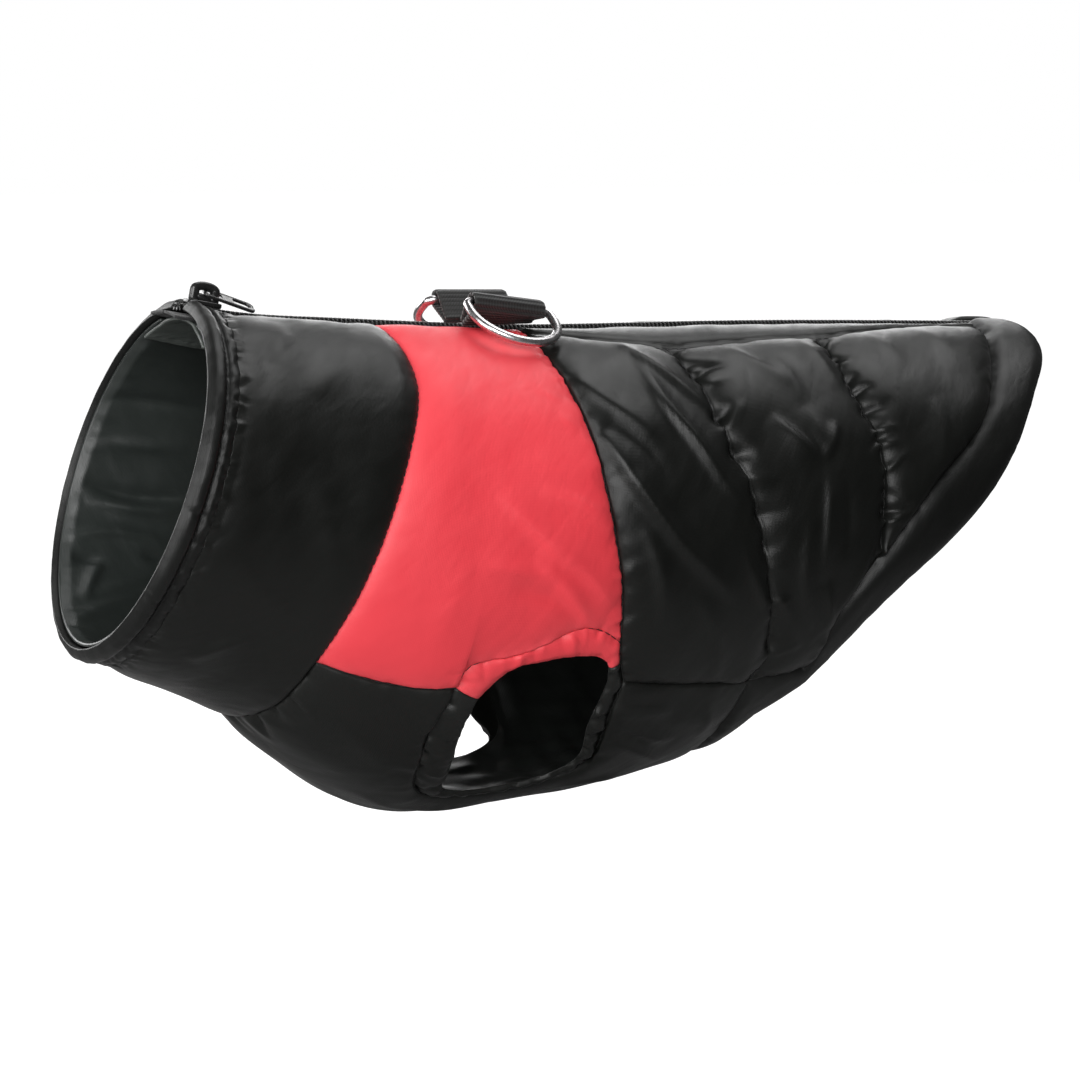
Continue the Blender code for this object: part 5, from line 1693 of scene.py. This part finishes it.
def makeWebbing(side):
    look = webbingLoop
    pitch, barZ = look["sides"][side]
    bar = np.array([look["barY"], barZ])
    root = np.array(look["root"])
    reach = bar - root
    distance = np.linalg.norm(reach)
    heading = math.atan2(reach[1], reach[0])
    direction = reach / distance
    normal = np.array([-direction[1], direction[0]])
    middle = look["wire"] / 2 + look["clear"] + look["thick"] / 2
    half = math.acos(min(0.98, (middle - look["thick"] / 2) / distance))
    turn = heading - (math.pi - half) + 2 * (math.pi - half) * even(46)
    loop = bar + middle * np.stack([np.cos(turn), np.sin(turn)], -1)
    foot = root + normal * look["thick"] * look["spread"]
    under = root - normal * look["thick"] * look["spread"]
    line = np.concatenate([[under - direction * 0.2], [under + direction * 1.2], loop,
                           [foot + direction * 1.2], [foot - direction * 0.2]])
    rows, columns = look["grid"]
    run = runLength(line)
    at = np.linspace(0, run[-1], rows)
    line = pick(line, run, at)
    for _ in range(3):
        line[1:-1] = (line[:-2] + 2 * line[1:-1] + line[2:]) / 4
    tangent = np.gradient(line, axis=0)
    tangent /= np.linalg.norm(tangent, axis=1, keepdims=True)
    across = np.stack([tangent[:, 1], -tangent[:, 0]], -1)
    rib = look["ribHeight"] * np.sin(math.tau * at / look["ribPitch"])
    x = look["width"] / 2 * np.linspace(-1, 1, columns)
    thinner, reachIn = look["selvedge"]
    selvedge = 1 - thinner * np.exp(-((look["width"] / 2 - np.abs(x)) / reachIn) ** 2)
    sign = -1 if side == "left" else 1
    sheets = []
    for face in (1, -1):
        level = (look["thick"] / 2 + face * rib * 0.7 - 0.08)[:, None] * selvedge[None]
        yz = line[:, None] + face * across[:, None] * level[..., None]
        points = np.concatenate([np.broadcast_to(x[None, :, None], yz.shape[:2] + (1,)), yz], -1)
        rise = (points[..., 2] - root[1]) / (barZ - look["wire"] / 2 - 1.0 - root[1])
        points[..., 2] -= math.tan(math.radians(pitch)) * points[..., 0] * np.clip(rise, 0.0, 1.0)
        points[..., 1] *= sign
        sheets.append(points)
    places = np.stack(np.broadcast_arrays(x[None], at[:, None] / halfGirth), -1)
    wear = edgeWear(0.5, even(columns)[None] + 0 * at[:, None], 0.03)
    thing = clothSolid("webbing" + side.capitalize(), sheets[0], sheets[1], places, wear, ["blackWebbing"])
    dress(thing, "coat", "ring_tab_" + side)


ringShape = {"width": 29.8, "depth": 20.4, "corner": 3.0, "rest": 30.0, "wire": 2.95}


def makeRing(side):
    look = ringShape
    pitch, barZ = webbingLoop["sides"][side]
    half, depth, corner = look["width"] / 2, look["depth"], look["corner"]
    flat = []
    for turn in np.radians(np.linspace(180, 270, 10)):
        flat.append((-half + corner + corner * math.cos(turn), corner + corner * math.sin(turn)))
    flat += [(x, 0.0) for x in np.linspace(-half + corner, half - corner, 14)[1:-1]]
    for turn in np.radians(np.linspace(270, 360, 10)):
        flat.append((half - corner + corner * math.cos(turn), corner + corner * math.sin(turn)))
    for turn in np.pi * even(73)[1:-1]:
        flat.append((half * math.cos(turn), corner + 2.0 + (depth - corner - 2.0) * math.sin(turn) ** 0.9))
    sign = -1 if side == "left" else 1
    angle = math.radians(look["rest"])
    points = [(x, sign * out * math.cos(angle), -out * math.sin(angle)) for x, out in flat]
    place = pitched((0.0, sign * webbingLoop["barY"], barZ), pitch)
    made, quads = tube(place(points), look["wire"] / 2, 20, closed=True)
    dress(meshObject("ring" + side.capitalize(), made, quads, slots=["polishedSteel"]), "ring_" + side,
          "d_ring_" + side)


makeCollar()
makeRimBinding()
makeLining()
print("collar, binding and lining sewn")
for side in ("left", "right"):
    makeYoke(side)
    makeBack(side)
    makeArmholeHem(side)
    makeFacing(side)
    makeTapePiece(side)
    makeWebbing(side)
    makeRing(side)
makeUnderside()
makeHemBinding()
print("body panels and hems sewn")
makeCoil()
makeSlider()
for finish, parts in stitches.items():
    points, quads = joinParts(parts)
    dress(meshObject(finish + "Sewing", points, quads, slots=[finish]), "coat", None)
print("zip, rings and sewing done")

total = 0
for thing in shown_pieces():
    if thing.type == "MESH":
        thing.data.calc_loop_triangles()
        triangles = len(thing.data.loop_triangles)
        total += triangles
        print(thing.name, triangles)
print("triangles", total)
